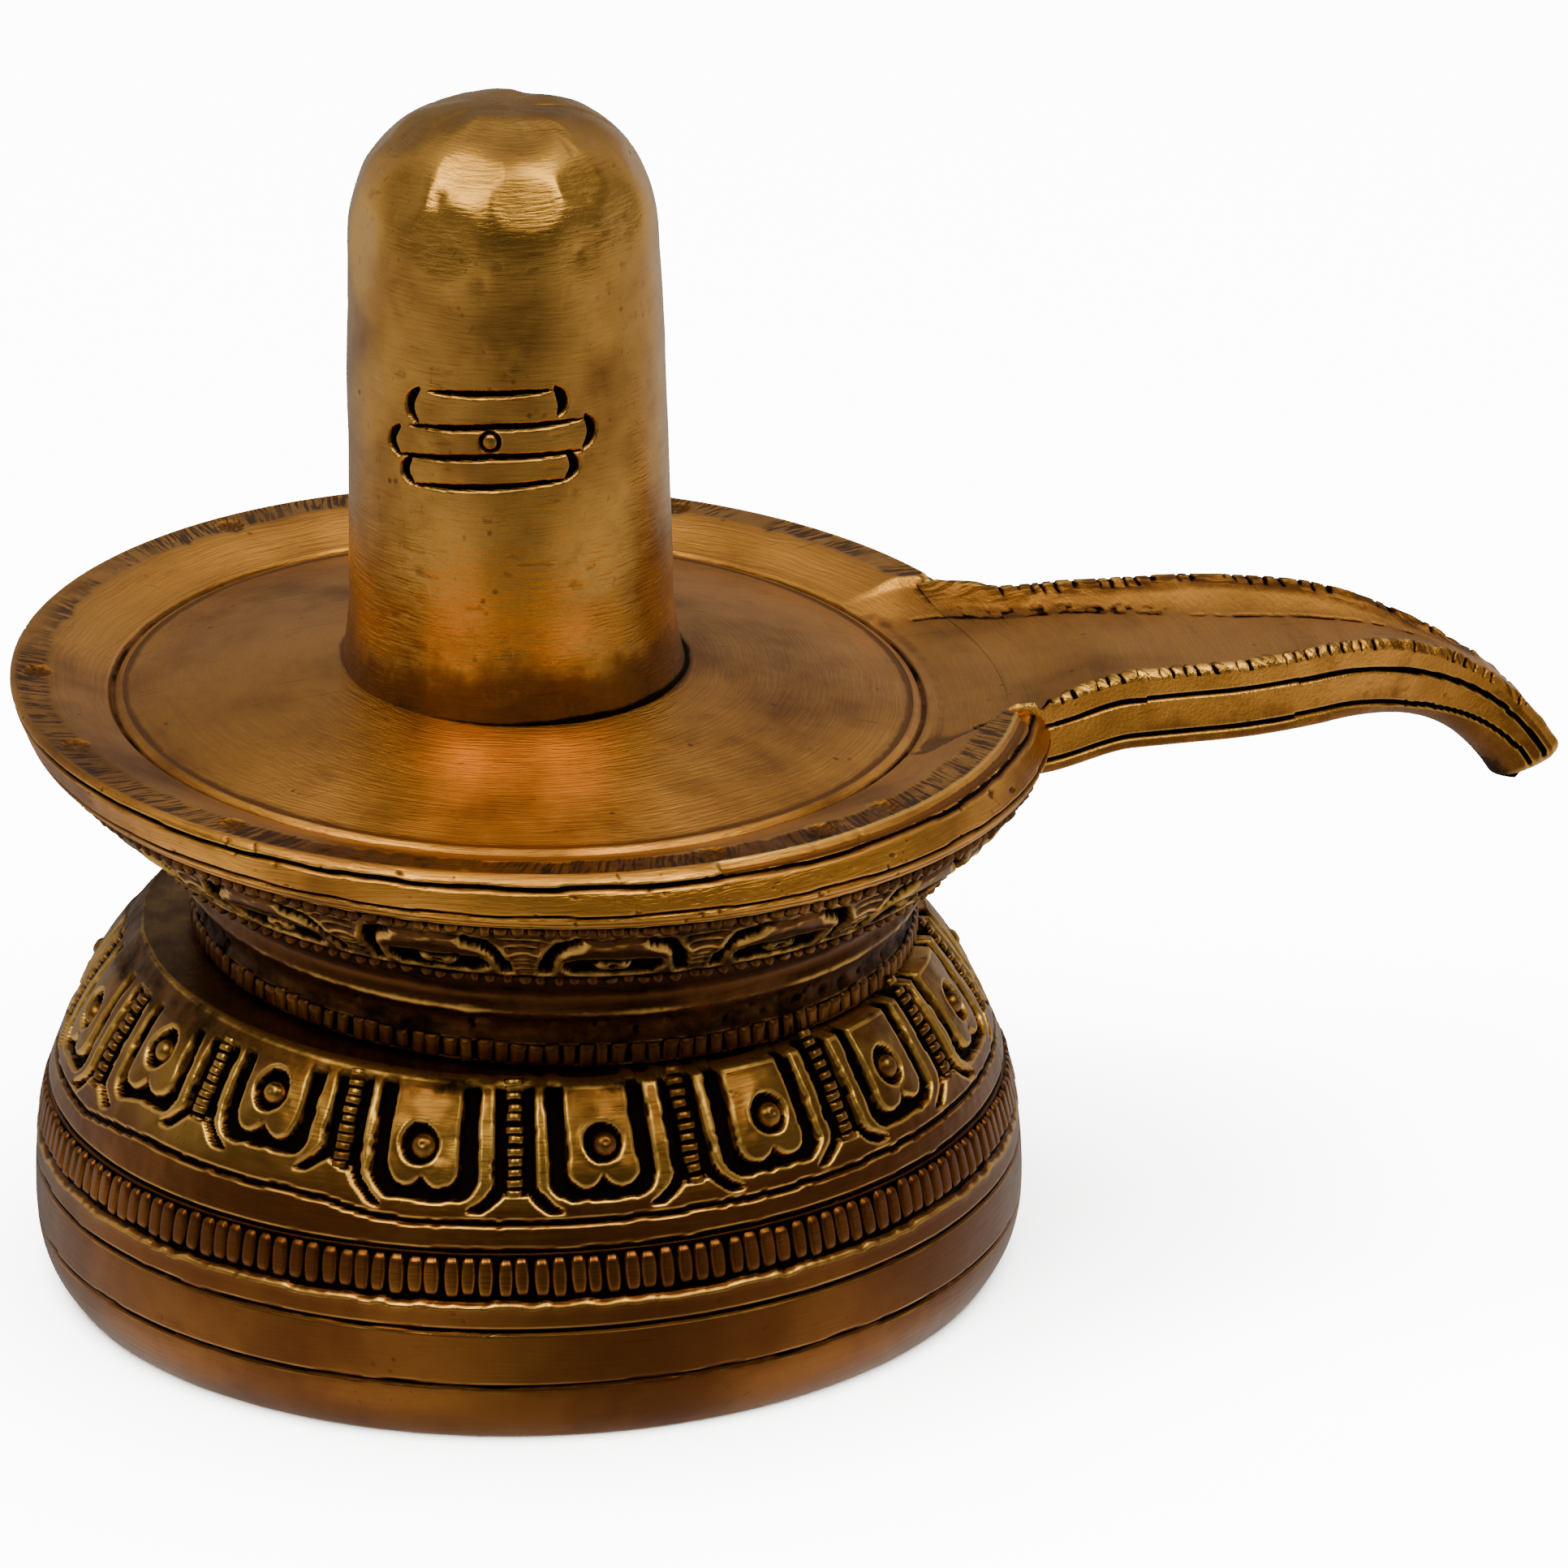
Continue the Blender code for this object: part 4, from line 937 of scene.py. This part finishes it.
def spout_top(run, across, middle, half):
    """Depth, darkness and filing from one edge of the spout over the channel to the other."""
    edge = half - np.abs(across - middle)
    lip = SPOUT_LIP * (1 - step(edge, 0, 0.5 * MM)) * step(run, 41.5 * MM, 44 * MM)
    lip = lip - 0.03 * MM * (run < 42.5 * MM)
    sway = noise(run / (1.35 * MM), across * 0, 101)
    comb = np.mod((run + 0.25 * across) / NICK_PITCH + 0.4 * sway, 1)
    nick = (np.abs(comb - 0.5) < 0.14) * (sway > -0.4) * step(run, 42.5 * MM, 44 * MM)
    nick = nick * (1 - step(edge, (0.7 + 0.5 * sway) * MM, (1.1 + 0.5 * sway) * MM)) * (run < 88 * MM)
    crest = hill(edge, 0.5 * MM, 0.4 * MM) * noise(run / (1.1 * MM), across / MM, 103)
    near_roll = (across < middle) * hill(edge, 0.8 * MM, 0.65 * MM)
    torn = hill(run, 42.4 * MM, 1.1 * MM) * (across < 0) * (1 - step(edge, 0.2 * MM, 1.8 * MM))
    folds = 0.5 + 0.9 * noise(run / (0.7 * MM), across / (0.6 * MM), 104)
    foot_dark, foot_depth = channel_foot(run, across)
    drop = channel_drop(run, across)
    depth = drop + lip + foot_depth
    depth += (0.2 * nick - 0.16 * crest - 0.32 * near_roll + torn * folds) * MM
    # Painted shade on the upper part of the channel's far wall.
    far_wall_shade = 0.42 * step(across, middle, middle + MM) * (1 - step(edge, 1.6 * MM, 3.0 * MM))
    far_wall_shade = far_wall_shade * (drop > 0.1 * MM)
    dark = most(0.9 * nick, foot_dark, 0.9 * torn * (run > 42 * MM), far_wall_shade)
    filed = 0.8 * (1 - step(edge, 1.3 * MM, 1.9 * MM)) * (run < 88 * MM)
    return depth, dark, filed


def spout_side(run, thick, count=43):
    """Down one side: the depths below the edge, how far each is cut back, and its darkness."""
    depth = SPOUT_LIP + np.arange(1, count + 1) / count * (thick - SPOUT_LIP)
    corner = 0.7 * MM + 2.6 * MM * step(run, SPOUT_BEND_START, SPOUT_RUN_END - 4 * MM)
    low = np.maximum(depth - thick + corner, 0) / corner
    tuck = corner * (1 - np.sqrt(np.clip(1 - low**2, 0, 1)))
    lines = np.zeros(count)
    for line in SPOUT_LINES:
        stepped = 0.11 * MM * np.round(noise(run / (12 * MM), line / MM, 107) * 2.4)
        level = line * (1 - 0.5 * step(run, 74 * MM, SPOUT_RUN_END))
        width = (0.52 + 0.1 * noise(run / (4 * MM), level / MM, 108)) * MM
        lines = np.maximum(lines, line_cut(depth - level - stepped, width, 0.5))
    lines = lines * (run < SPOUT_RUN_END + 0.5 * MM)
    # Darker towards the bottom of the side and towards the tip.
    darkened = 0.2 + 0.25 * step(depth, 0.5 * thick, thick) + 0.25 * step(run, 78 * MM, SPOUT_RUN_END)
    return depth, 0.5 * MM * lines + tuck, np.maximum(step(lines, 0.1, 0.5), darkened)


def make_spout(stations=314):
    """A closed tube: over the channel from side to side, down the wall, and back underneath."""
    tip = SPOUT_RUN_END + np.array([0.3, 0.6, 0.9, 1.2, 1.4, 1.5]) * MM
    over = np.linspace(-1, 1, 71)
    under = np.linspace(1, -1, 21)[1:-1]
    rows, shades, files = [], [], []
    for run in np.concatenate([np.linspace(SPOUT_ROOT, SPOUT_RUN_END, stations), tip]):
        beyond = np.clip((run - SPOUT_RUN_END) / SPOUT_CLOSE, 0, 0.985)
        close = 0.35 + 0.65 * math.sqrt(1 - beyond**2)
        near, far = spout_edges(run)
        middle, half = (near + far) / 2, (far - near) / 2 * close
        thick = (SPOUT_THICKNESS - SPOUT_TIP_THINNER * step(run, 72 * MM, SPOUT_RUN_END)) * close
        inset = SPOUT_THICKNESS * 0.46 * (1 - close)
        across = middle + over * half
        top_run, near_run, far_run = (root_run(run, side) for side in (across, near, far))
        top_depth, top_dark, filed = spout_top(top_run, across, middle, half)
        depth, cut, dark = spout_side(run, thick)
        low_run = (far_run + near_run) / 2 + (far_run - near_run) / 2 * under
        low_half = half - cut[-1]
        top = spout_place(top_run, across, inset + top_depth)
        right = spout_place(far_run, middle + half - cut, inset + depth)
        below = spout_place(low_run, middle + under * low_half, inset + thick + 0 * under)
        left = spout_place(near_run, (middle - half + cut)[::-1], inset + depth[::-1])
        rows.append(np.concatenate([top, right, below, left]))
        # The underside is darkened evenly.
        shades.append(np.concatenate([top_dark, dark, 0.4 + 0 * under, dark[::-1]]))
        files.append(np.concatenate([filed, 0 * dark, 0 * under, 0 * dark]))
    points, dark, filed = (np.array(given)[:, ::-1] for given in (rows, shades, files))
    return grid_mesh("spout", points, dark, cap_last=True, filed=filed)


# The shaft


def shaft_radius(rise):
    start = SHAFT_HEIGHT - DOME_HEIGHT
    share = np.clip((rise - start) / DOME_HEIGHT, 0, 1)
    dome = SHAFT_TOP * (1 - share**DOME_SQUARENESS) ** (1 / DOME_SQUARENESS)
    body = SHAFT_RADIUS + (SHAFT_TOP - SHAFT_RADIUS) * (rise / start) ** 2
    body = body + (SHAFT_FOOT - SHAFT_RADIUS) * np.clip(1 - rise / SHAFT_FLARE, 0, 1) ** 2
    return np.where(rise > start, dome, body)


# The mark's strokes, as (degrees round the shaft, height in mm) points.
MARK_LEVELS = (
    ((-129.2, 80.5), (-105.7, 80.7), (-83.1, 80.8)),
    ((-137.1, 77.3), (-104.2, 77.85), (-71.6, 77.97)),
    ((-142.2, 74.6), (-105.9, 75.3), (-71.9, 75.3)),
    ((-135.8, 72.3), (-106.1, 72.7), (-77.9, 73.0)),
)
# Each end's crescent, as (degrees, mm) of its tips and of its back.
MARK_ENDS = (
    ((-133, 80.7), (-137.0, 79.1), (-133.5, 77.6)),
    ((-82, 81.1), (-79.2, 79.8), (-80.8, 78.5)),
    ((-142, 77.1), (-145.6, 75.7), (-141.5, 74.4)),
    ((-70.5, 78.3), (-67.9, 76.8), (-71.5, 75.4)),
    ((-137, 74.6), (-139.4, 73.4), (-136, 72.3)),
    ((-77.6, 75.4), (-75.2, 74.1), (-78.4, 73.0)),
)
MARK_DOT = (-106.0, 76.6)
MARK_BAND = (71.5 * MM, 82 * MM)
MARK_SIDE = (math.radians(210), math.radians(298))
# Dents, as (degrees, height in mm, radius in mm).
SHAFT_DENTS = ((-96.5, 83.4, 0.7), (-100, 82.6, 0.45), (-108, 90.1, 0.9), (-128, 96.5, 0.8), (-70, 92, 0.5))


def shaft_relief(angle, height):
    degrees = np.degrees(angle)
    scale = 13.3 * math.pi / 180
    x, z = degrees * scale, height / MM
    wobble = 0.05 * ragged(angle, height, 111, 0.8 * MM, 13 * MM)
    depth = np.zeros(height.shape)
    dark = np.zeros(height.shape)
    for path in MARK_LEVELS:
        flat = [(a * scale, h) for a, h in path]
        depth += 0.4 * stroke(x + wobble, z + wobble, flat, 0.85, 0.6)
        dark = np.maximum(dark, stroke(x + wobble, z + wobble, flat, 0.66, 0.3))
    for path in MARK_ENDS:
        flat = arc_through([(a * scale, h) for a, h in path])
        depth += 0.45 * stroke(x + wobble, z + wobble, flat, 1.1, 0.5)
        dark = np.maximum(dark, stroke(x + wobble, z + wobble, flat, 0.95, 0.3))
    reach = np.hypot(x - MARK_DOT[0] * scale, z - MARK_DOT[1])
    ring = line_cut(reach - 0.78, 0.5, 0.7)
    depth += 0.35 * ring - 0.15 * np.exp(-((reach / 0.5) ** 2))
    dark = np.maximum(dark, 0.95 * ring)
    for turn, level, size in SHAFT_DENTS:
        spot = np.exp(-((np.hypot(x - turn * scale, z - level) / size) ** 2))
        depth += 0.14 * spot
        dark = np.maximum(dark, 0.3 * spot)
    dome = step(height, SHAFT_BOTTOM + 34 * MM, SHAFT_BOTTOM + 42 * MM)
    hammered = noise(angle * 2.6, height / (6.0 * MM), 113)
    hammered = hammered + 0.5 * noise(angle * 5.1, height / (2.7 * MM), 114)
    depth += hammered * (0.07 + 0.02 * dome)
    gouges = noise(angle * 9, height / (0.55 * MM), 115)
    gouges = gouges * step(noise(angle * 2.2, height / (5 * MM), 116), -0.1, 0.4)
    gouged = step(gouges, 0.42, 0.75)
    depth += 0.035 * gouged
    dark = np.maximum(dark, 0.25 * gouged)
    level = height - SHAFT_BOTTOM + 0.5 * MM * ragged(angle, height, 117, 3 * MM, 13 * MM)
    foot = 0.55 * (1 - step(level, 0.5 * MM, 9 * MM))
    seam = 1 - step(height, SHAFT_BOTTOM + 0.3 * MM, SHAFT_BOTTOM + 0.9 * MM)
    return -depth * MM, most(dark, foot, seam)


def hammer_flats(points, out, count=27):
    """How deep hammer flats, spread over the dome, cut below each of its points."""
    deepest = np.zeros(points.shape[:2])
    rng = np.random.default_rng(31)
    for index in range(count):
        tilt = math.acos(1 - 0.97 * index / (count - 1)) + 0.08 * rng.uniform(-1, 1)
        turn = 2.39996 * index + 0.15 * rng.uniform(-1, 1)
        facing = np.array((math.sin(tilt) * math.cos(turn), math.sin(tilt) * math.sin(turn), math.cos(tilt)))
        reach = points @ facing
        cut = (0.26 + 0.14 * rng.uniform(-1, 1)) * MM
        excess = np.maximum(reach - reach.max() + cut, 0) / np.maximum(out @ facing, 0.5)
        deepest = np.maximum(deepest, excess)
    for _ in range(3):
        for axis in (0, 1):
            deepest = (np.roll(deepest, 1, axis) + 2 * deepest + np.roll(deepest, -1, axis)) / 4
    return deepest


def make_shaft(columns=440, rows=216):
    # Rows and columns are closer together across the mark.
    rise = np.linspace(0, SHAFT_HEIGHT, 4000)
    radius = shaft_radius(rise)
    run = np.hypot(np.diff(radius), np.diff(rise))
    marked = (rise[1:] + SHAFT_BOTTOM > MARK_BAND[0]) & (rise[1:] + SHAFT_BOTTOM < MARK_BAND[1])
    run = np.concatenate([[0], np.cumsum(run * (1 + 2.6 * marked))])
    even = np.interp(np.linspace(0, run[-1] * 0.9985, rows), run, rise)
    turn = np.linspace(0, TAU, 4000)
    facing = (turn > MARK_SIDE[0]) & (turn < MARK_SIDE[1])
    spread = np.concatenate([[0], np.cumsum(1 + 1.8 * facing[1:])])
    angle = np.interp(np.linspace(0, spread[-1], columns + 1)[:-1], spread, turn)[None, :] - TAU
    h = even[:, None] + 0 * angle
    a = angle + 0 * h
    point, out, _ = skin(lambda level: shaft_radius(level - SHAFT_BOTTOM), a, h + SHAFT_BOTTOM)
    relief, dark = shaft_relief(a, h + SHAFT_BOTTOM)
    relief = relief * between(h, 0, 0.5 * MM, SHAFT_HEIGHT - 0.2 * MM, SHAFT_HEIGHT)
    relief = relief - hammer_flats(point, out) * step(h, 26 * MM, 36 * MM)
    tilt = step(h, SHAFT_HEIGHT - 0.6 * MM, SHAFT_HEIGHT - 0.1 * MM)[..., None]
    out = out * (1 - tilt) + np.array((0, 0, 1.0)) * tilt
    points = point + out * relief[..., None]
    points[..., 0] += SHAFT_OFFSET
    return grid_mesh("shaft", points, dark, cap_first=True, cap_last=True)


# Finishes

SOOT = (0.006, 0.003, 0.0015)


def new_group(name, inputs, outputs):
    group = bpy.data.node_groups.new(name, "ShaderNodeTree")
    for label, value in inputs:
        socket = group.interface.new_socket(label, in_out="INPUT", socket_type="NodeSocketFloat")
        socket.default_value = value
    for label, kind in outputs:
        group.interface.new_socket(label, in_out="OUTPUT", socket_type=kind)
    return group, group.nodes.new("NodeGroupInput"), group.nodes.new("NodeGroupOutput")


def brushing_group():
    """Fine lines round the vertical axis, pits and long scratches, as heights and one mask."""
    names = ("Brushing", "Pits", "Scratches", "Streaks", "Filing")
    group, _, made = new_group("tool marks", (), tuple((name, "NodeSocketFloat") for name in names))
    w = Wiring(group)
    where = w.place()
    parts = w.node("ShaderNodeSeparateXYZ")
    w.feed(parts.inputs[0], where)
    x, y, z = parts.outputs
    radius = w.math("SQRT", w.math("ADD", w.math("MULTIPLY", x, x), w.math("MULTIPLY", y, y)))
    turn = w.math("ARCTAN2", y, x)
    bent = w.math("MULTIPLY", w.noise(where, 60.0), 0.003)
    rounds = w.node("ShaderNodeCombineXYZ")
    w.feed(rounds.inputs[0], w.math("MULTIPLY", turn, 4.0))
    w.feed(rounds.inputs[1], w.math("MULTIPLY", w.math("ADD", radius, bent), 3600.0))
    w.feed(rounds.inputs[2], w.math("MULTIPLY", w.math("ADD", z, bent), 3600.0))
    brushing = w.noise(rounds.outputs[0], 1.0, 3.0, 0.6)
    smears = w.node("ShaderNodeMapping")
    w.feed(smears.inputs["Vector"], rounds.outputs[0])
    smears.inputs["Scale"].default_value = (1.3, 0.12, 0.12)
    streaks = w.ramp(w.noise(smears.outputs[0], 1.0, 4.0, 0.7), 0.52, 0.78)
    pits = w.node("ShaderNodeTexVoronoi")
    w.feed(pits.inputs["Vector"], where)
    w.feed(pits.inputs["Scale"], 620.0)
    spots = w.ramp(pits.outputs["Distance"], 0.05, 0.22, 1.0, 0.0)
    where_pitted = w.ramp(w.noise(where, 190.0, 3.0), 0.58, 0.68)
    across = w.node("ShaderNodeMapping")
    w.feed(across.inputs["Vector"], where)
    across.inputs["Rotation"].default_value = (0.4, 0.9, 0.5)
    across.inputs["Scale"].default_value = (90.0, 2600.0, 900.0)
    scratch = w.ramp(w.noise(across.outputs[0], 1.0, 1.0), 0.7, 0.76)
    slanted = w.node("ShaderNodeCombineXYZ")
    slide = w.math("MULTIPLY", w.math("ADD", radius, w.math("MULTIPLY", w.noise(where, 300.0), 0.002)), 900.0)
    w.feed(slanted.inputs[0], w.math("ADD", w.math("MULTIPLY", turn, 105.0), slide))
    w.feed(slanted.inputs[1], w.math("MULTIPLY", radius, 260.0))
    filing = w.ramp(w.noise(slanted.outputs[0], 1.0, 2.0, 0.6), 0.46, 0.54)
    w.feed(made.inputs["Filing"], filing)
    w.feed(made.inputs["Brushing"], brushing)
    w.feed(made.inputs["Pits"], w.math("MULTIPLY", spots, where_pitted))
    w.feed(made.inputs["Scratches"], scratch)
    w.feed(made.inputs["Streaks"], streaks)
    return group


def patina_group():
    """How dirty and how rubbed bright each point is, from its stored hollowness and noise. The brightening of
    proud edges is partly rubbed wear and partly painted highlight.
    """
    inputs = (("Dirt", 0.5), ("Grain", 260.0))
    outputs = (("Dark", "NodeSocketFloat"), ("Brown", "NodeSocketFloat"), ("Bright", "NodeSocketFloat"))
    group, given, made = new_group("patina", inputs, outputs)
    w = Wiring(group)
    where = w.place()
    grain = w.noise(where, given.outputs["Grain"], 5.0, 0.65)
    cloud = w.noise(where, 45.0, 4.0, 0.6)
    cut = w.attribute("dark")
    proud = w.attribute("proud")
    broad = w.attribute("broad")
    wander = w.math("MULTIPLY", w.math("SUBTRACT", grain, 0.5), 0.7)
    dark = w.ramp(w.math("ADD", cut, wander), 0.5, 0.86)
    hollow = w.ramp(w.math("ADD", w.math("MULTIPLY", broad, -4.5), wander), 0.15, 0.7)
    darkened = w.ramp(w.math("ADD", cut, wander), 0.06, 0.5)
    stain = w.ramp(w.math("ADD", cloud, w.math("MULTIPLY", given.outputs["Dirt"], 0.35)), 0.52, 0.85)
    brown = w.math("MAXIMUM", w.math("MAXIMUM", hollow, darkened), stain, clamp=True)
    # Proud edges are brightened: rubbed wear, and partly a painted highlight.
    edge = w.ramp(w.math("ADD", w.math("MULTIPLY", proud, 12.0), wander), 0.45, 1.4)
    w.feed(made.inputs["Dark"], dark)
    w.feed(made.inputs["Brown"], brown)
    w.feed(made.inputs["Bright"], w.math("MULTIPLY", edge, w.math("SUBTRACT", 1.0, dark)))
    return group


def brass(name, groups, metal, brown, bright, roughness, dirt, brushing, low=None, change=(0.0, 1.0)):
    """Antique brass. Below the change heights its metal may have a second colour, low."""
    material = bpy.data.materials.new(name)
    material.use_nodes = True
    w = Wiring(material.node_tree)
    shader = material.node_tree.nodes["Principled BSDF"]
    shader.inputs["Metallic"].default_value = 1.0
    marks = w.node("ShaderNodeGroup", node_tree=groups[0])
    patina = w.node("ShaderNodeGroup", node_tree=groups[1])
    patina.inputs["Dirt"].default_value = dirt
    where = w.place()
    parts = w.node("ShaderNodeSeparateXYZ")
    w.feed(parts.inputs[0], where)
    higher = w.ramp(parts.outputs[2], *change)
    color = w.mix(higher, (*(low or metal), 1), (*metal, 1))
    tint = w.ramp(w.noise(where, 28.0, 3.0), 0.35, 0.68)
    filing = w.math("MULTIPLY", marks.outputs["Filing"], w.attribute("filed"))
    coats = (
        # share, strength, colour
        (tint, 0.3, brown),
        (marks.outputs["Streaks"], 0.5 * dirt + 0.1, brown),
        (marks.outputs["Scratches"], 0.35, brown),
        (patina.outputs["Brown"], 0.85, brown),
        # Rubbed wear and painted highlight on proud edges.
        (patina.outputs["Bright"], 0.65, bright),
        (marks.outputs["Pits"], 0.8, brown),
        (filing, 0.85, tuple(0.45 * part for part in brown)),
        (patina.outputs["Dark"], 1.0, SOOT),
    )
    for share, strength, coat in coats:
        color = w.mix(w.math("MULTIPLY", share, strength), color, (*coat, 1))
    w.feed(shader.inputs["Base Color"], color)
    streaks = w.math("SUBTRACT", marks.outputs["Brushing"], 0.5)
    rough = w.math("ADD", roughness, w.math("MULTIPLY", streaks, 0.22))
    rough = w.math("ADD", rough, w.math("MULTIPLY", patina.outputs["Brown"], 0.12))
    rough = w.math("ADD", rough, w.math("MULTIPLY", patina.outputs["Dark"], 0.35), clamp=True)
    w.feed(shader.inputs["Roughness"], rough)
    height = w.math("MULTIPLY", marks.outputs["Brushing"], brushing)
    for cut, depth in ((marks.outputs["Pits"], 0.8), (marks.outputs["Scratches"], 0.3), (filing, 0.9)):
        height = w.math("SUBTRACT", height, w.math("MULTIPLY", cut, depth))
    height = w.math("ADD", height, w.math("MULTIPLY", w.noise(where, 480.0, 4.0, 0.6), 0.6))
    relief = w.node("ShaderNodeBump")
    relief.inputs["Strength"].default_value = 0.45
    relief.inputs["Distance"].default_value = 0.06 * MM
    w.feed(relief.inputs["Height"], height)
    w.feed(shader.inputs["Normal"], relief.outputs[0])
    return material


def plain(name, color, roughness):
    material = bpy.data.materials.new(name)
    material.use_nodes = True
    shader = material.node_tree.nodes["Principled BSDF"]
    shader.inputs["Base Color"].default_value = (*color, 1)
    shader.inputs["Roughness"].default_value = roughness
    return material


# The studio


def photo_camera():
    """The photograph's camera: far off, a little above, turned a few degrees off the front."""
    distance = 1.04
    elevation, yaw, pitch = math.radians(24.0), math.radians(1.322), math.radians(21.903)
    roll, spin = math.radians(0.8), math.radians(-9.5)
    ahead = Vector((math.sin(yaw) * math.cos(pitch), math.cos(yaw) * math.cos(pitch), -math.sin(pitch)))
    right = ahead.cross(Vector((0, 0, 1))).normalized()
    up = right.cross(ahead)
    rolled_right = math.cos(roll) * right - math.sin(roll) * up
    rolled_up = math.sin(roll) * right + math.cos(roll) * up
    place = Matrix((rolled_right, rolled_up, -ahead)).transposed().to_4x4()
    place.translation = (0, -distance * math.cos(elevation), distance * math.sin(elevation))
    lens = bpy.data.cameras.new("photo_camera")
    lens.sensor_width = 36.0
    # The focal length was fitted as 15158 pixels of the photo, which is 1932 wide.
    lens.lens = lens.sensor_width * 15158 / 1932
    lens.clip_start = 0.05
    lens.clip_end = 10.0
    camera = bpy.data.objects.new("photo_camera", lens)
    bpy.context.scene.collection.objects.link(camera)
    camera.matrix_world = Matrix.Rotation(spin, 4, "Z") @ place
    bpy.context.scene.camera = camera


def soft_light(name, where, aim, size, power, color=(1, 1, 1)):
    lamp = bpy.data.lights.new(name, "AREA")
    lamp.shape = "RECTANGLE"
    lamp.size, lamp.size_y = size
    lamp.energy = power
    lamp.color = color
    item = bpy.data.objects.new(name, lamp)
    item.location = where
    item.rotation_euler = (Vector(aim) - Vector(where)).to_track_quat("-Z", "Y").to_euler()
    bpy.context.scene.collection.objects.link(item)
    return item


def soft_room():
    """A world that is pale overhead, dimmer towards the floor and dimmest behind the camera."""
    world = bpy.data.worlds.new("studio")
    world.use_nodes = True
    w = Wiring(world.node_tree)
    parts = w.node("ShaderNodeSeparateXYZ")
    w.feed(parts.inputs[0], w.node("ShaderNodeTexCoord").outputs["Generated"])
    x, y, z = parts.outputs
    table = w.math("ADD", w.ramp(z, -0.1, 0.02, 0.5, 0.0), w.ramp(z, -0.66, -0.44, 0.3, 0.0))
    back = w.math("MULTIPLY", w.ramp(y, -0.15, 0.5, 0.14, 0.42), w.ramp(z, -0.12, 0.02))
    above = w.ramp(z, 0.66, 0.95, 0.0, 1.0)
    sides = w.ramp(w.math("ABSOLUTE", x), 0.15, 0.8, 0.75, 1.65)
    level = w.math("MULTIPLY", w.math("ADD", w.math("ADD", table, back), above), sides)
    w.feed(world.node_tree.nodes["Background"].inputs["Strength"], level)
    world.node_tree.nodes["Background"].inputs["Color"].default_value = (1.0, 0.95, 0.86, 1)
    bpy.context.scene.world = world


def studio():
    photo_camera()
    soft_room()
    wash = soft_light("floor_wash", (0, 0, 1.6), (0, 0, 0), (2.4, 2.4), 650.0)
    wash.visible_glossy = False
    warm = (1.0, 0.92, 0.6)
    soft_light("left_window", (-0.42, -0.38, 0.88), (0, 0, 0.06), (0.52, 0.52), 5.5, warm)
    soft_light("right_window", (0.34, -0.42, 0.9), (0, 0, 0.06), (0.52, 0.52), 5.5, warm)
    bpy.ops.mesh.primitive_plane_add(size=8)
    floor = bpy.context.active_object
    floor.name = "floor"
    floor.data.materials.append(plain("pale_floor", (0.92, 0.92, 0.92), 0.7))
    floor.visible_glossy = False


def main():
    groups = (brushing_group(), patina_group())
    bright = (0.80, 0.46, 0.11)
    brown = (0.105, 0.034, 0.01)
    soot_and_shade = (0.065, 0.021, 0.008)
    foot = ((0.26, 0.1, 0.024), (19.5 * MM, 21.5 * MM))
    shaft = brass("shaft_brass", groups, (0.62, 0.33, 0.072), brown, bright, 0.25, 0.4, 1.9)
    tray = brass("tray_brass", groups, (0.70, 0.315, 0.058), brown, bright, 0.32, 0.4, 3.6)
    base = brass("base_brass", groups, (0.50, 0.28, 0.06), brown, bright, 0.25, 0.6, 0.7, *foot)
    # The neck's darker metal and brown are partly patina and partly painted shade under the dish.
    neck = brass("neck_patina_and_shade", groups, (0.32, 0.14, 0.028), soot_and_shade, bright, 0.3, 0.9, 0.8)
    slots = {"lingam": "shaft_brass", "yoni_tray": "tray_brass", "lotus_base": "base_brass"}
    pieces = []
    relief = (
        (make_shaft, "lingam", shaft),
        (make_dish, "yoni_tray", tray),
        (make_spout, "yoni_tray", tray),
        (make_neck, "yoni_tray", neck),
        (make_foot_band, "lotus_base", base),
        (make_petal_band, "lotus_base", base),
    )
    for make, node, material in relief:
        item = make()
        item.data.materials.append(material)
        mark_proud_and_hollow(item)
        pieces.append((item, node, slots[node]))

    ridge = stud_mesh("ridge", 1.44 * MM, 3.3 * MM, 0.45 * MM, waist=0.55, steps=(8, 10), roundness=4)
    rung = stud_mesh("rung", 1.4 * MM, 0.72 * MM, 0.45 * MM, steps=(6, 6))
    bead = pitted_bead("bead", 1.08 * MM)
    tooth = stud_mesh("tooth", 1.28 * MM, 1.9 * MM, 0.42 * MM, roundness=3)
    square = stud_mesh("square", 1.06 * MM, 1.2 * MM, 0.55 * MM, steps=(6, 6), roundness=3)
    point = stud_mesh("point", 1.1 * MM, 1.05 * MM, 0.6 * MM, waist=0.6, steps=(6, 6), roundness=1.6)
    foot_row = neck_places(136, 1.0 * MM, 30.2 * MM, 0.0, 0.05 * MM, 21)
    upper_row = neck_places(192, 16.35 * MM, 41.0 * MM, 0.8, 0.02 * MM, 22)
    lower_row = neck_places(156, 9.3 * MM, 34.15 * MM, 1.1, 0.0, 23)
    tree = stud_tree()
    studs = (
        # name, stud, places, node, material, size spread, turn spread
        ("ridges", ridge, ridge_places(), "lotus_base", base, 0.07, 0.03),
        ("rungs", rung, rung_places(), "lotus_base", base, 0.12, 0.08),
        ("beads", bead, bead_places(), "lotus_base", base, 0.06, 0.05),
        ("teeth", tooth, foot_row, "yoni_tray", neck, 0.14, 0.12),
        ("upper_beads", square, upper_row, "yoni_tray", neck, 0.2, 0.15),
        ("lower_beads", point, lower_row, "yoni_tray", neck, 0.2, 0.2),
    )
    for seed, (name, stud, places, node, material, size_spread, turn_spread) in enumerate(studs, 1):
        item = set_studs(name, tree, stud, places, material, size_spread, turn_spread, seed)
        pieces.append((item, node, slots[node]))

    for item, node, slot in pieces:
        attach(item, "root")
        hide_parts(node)
        print(item.name, sum(len(face.vertices) - 2 for face in item.data.polygons))
    studio()


main()
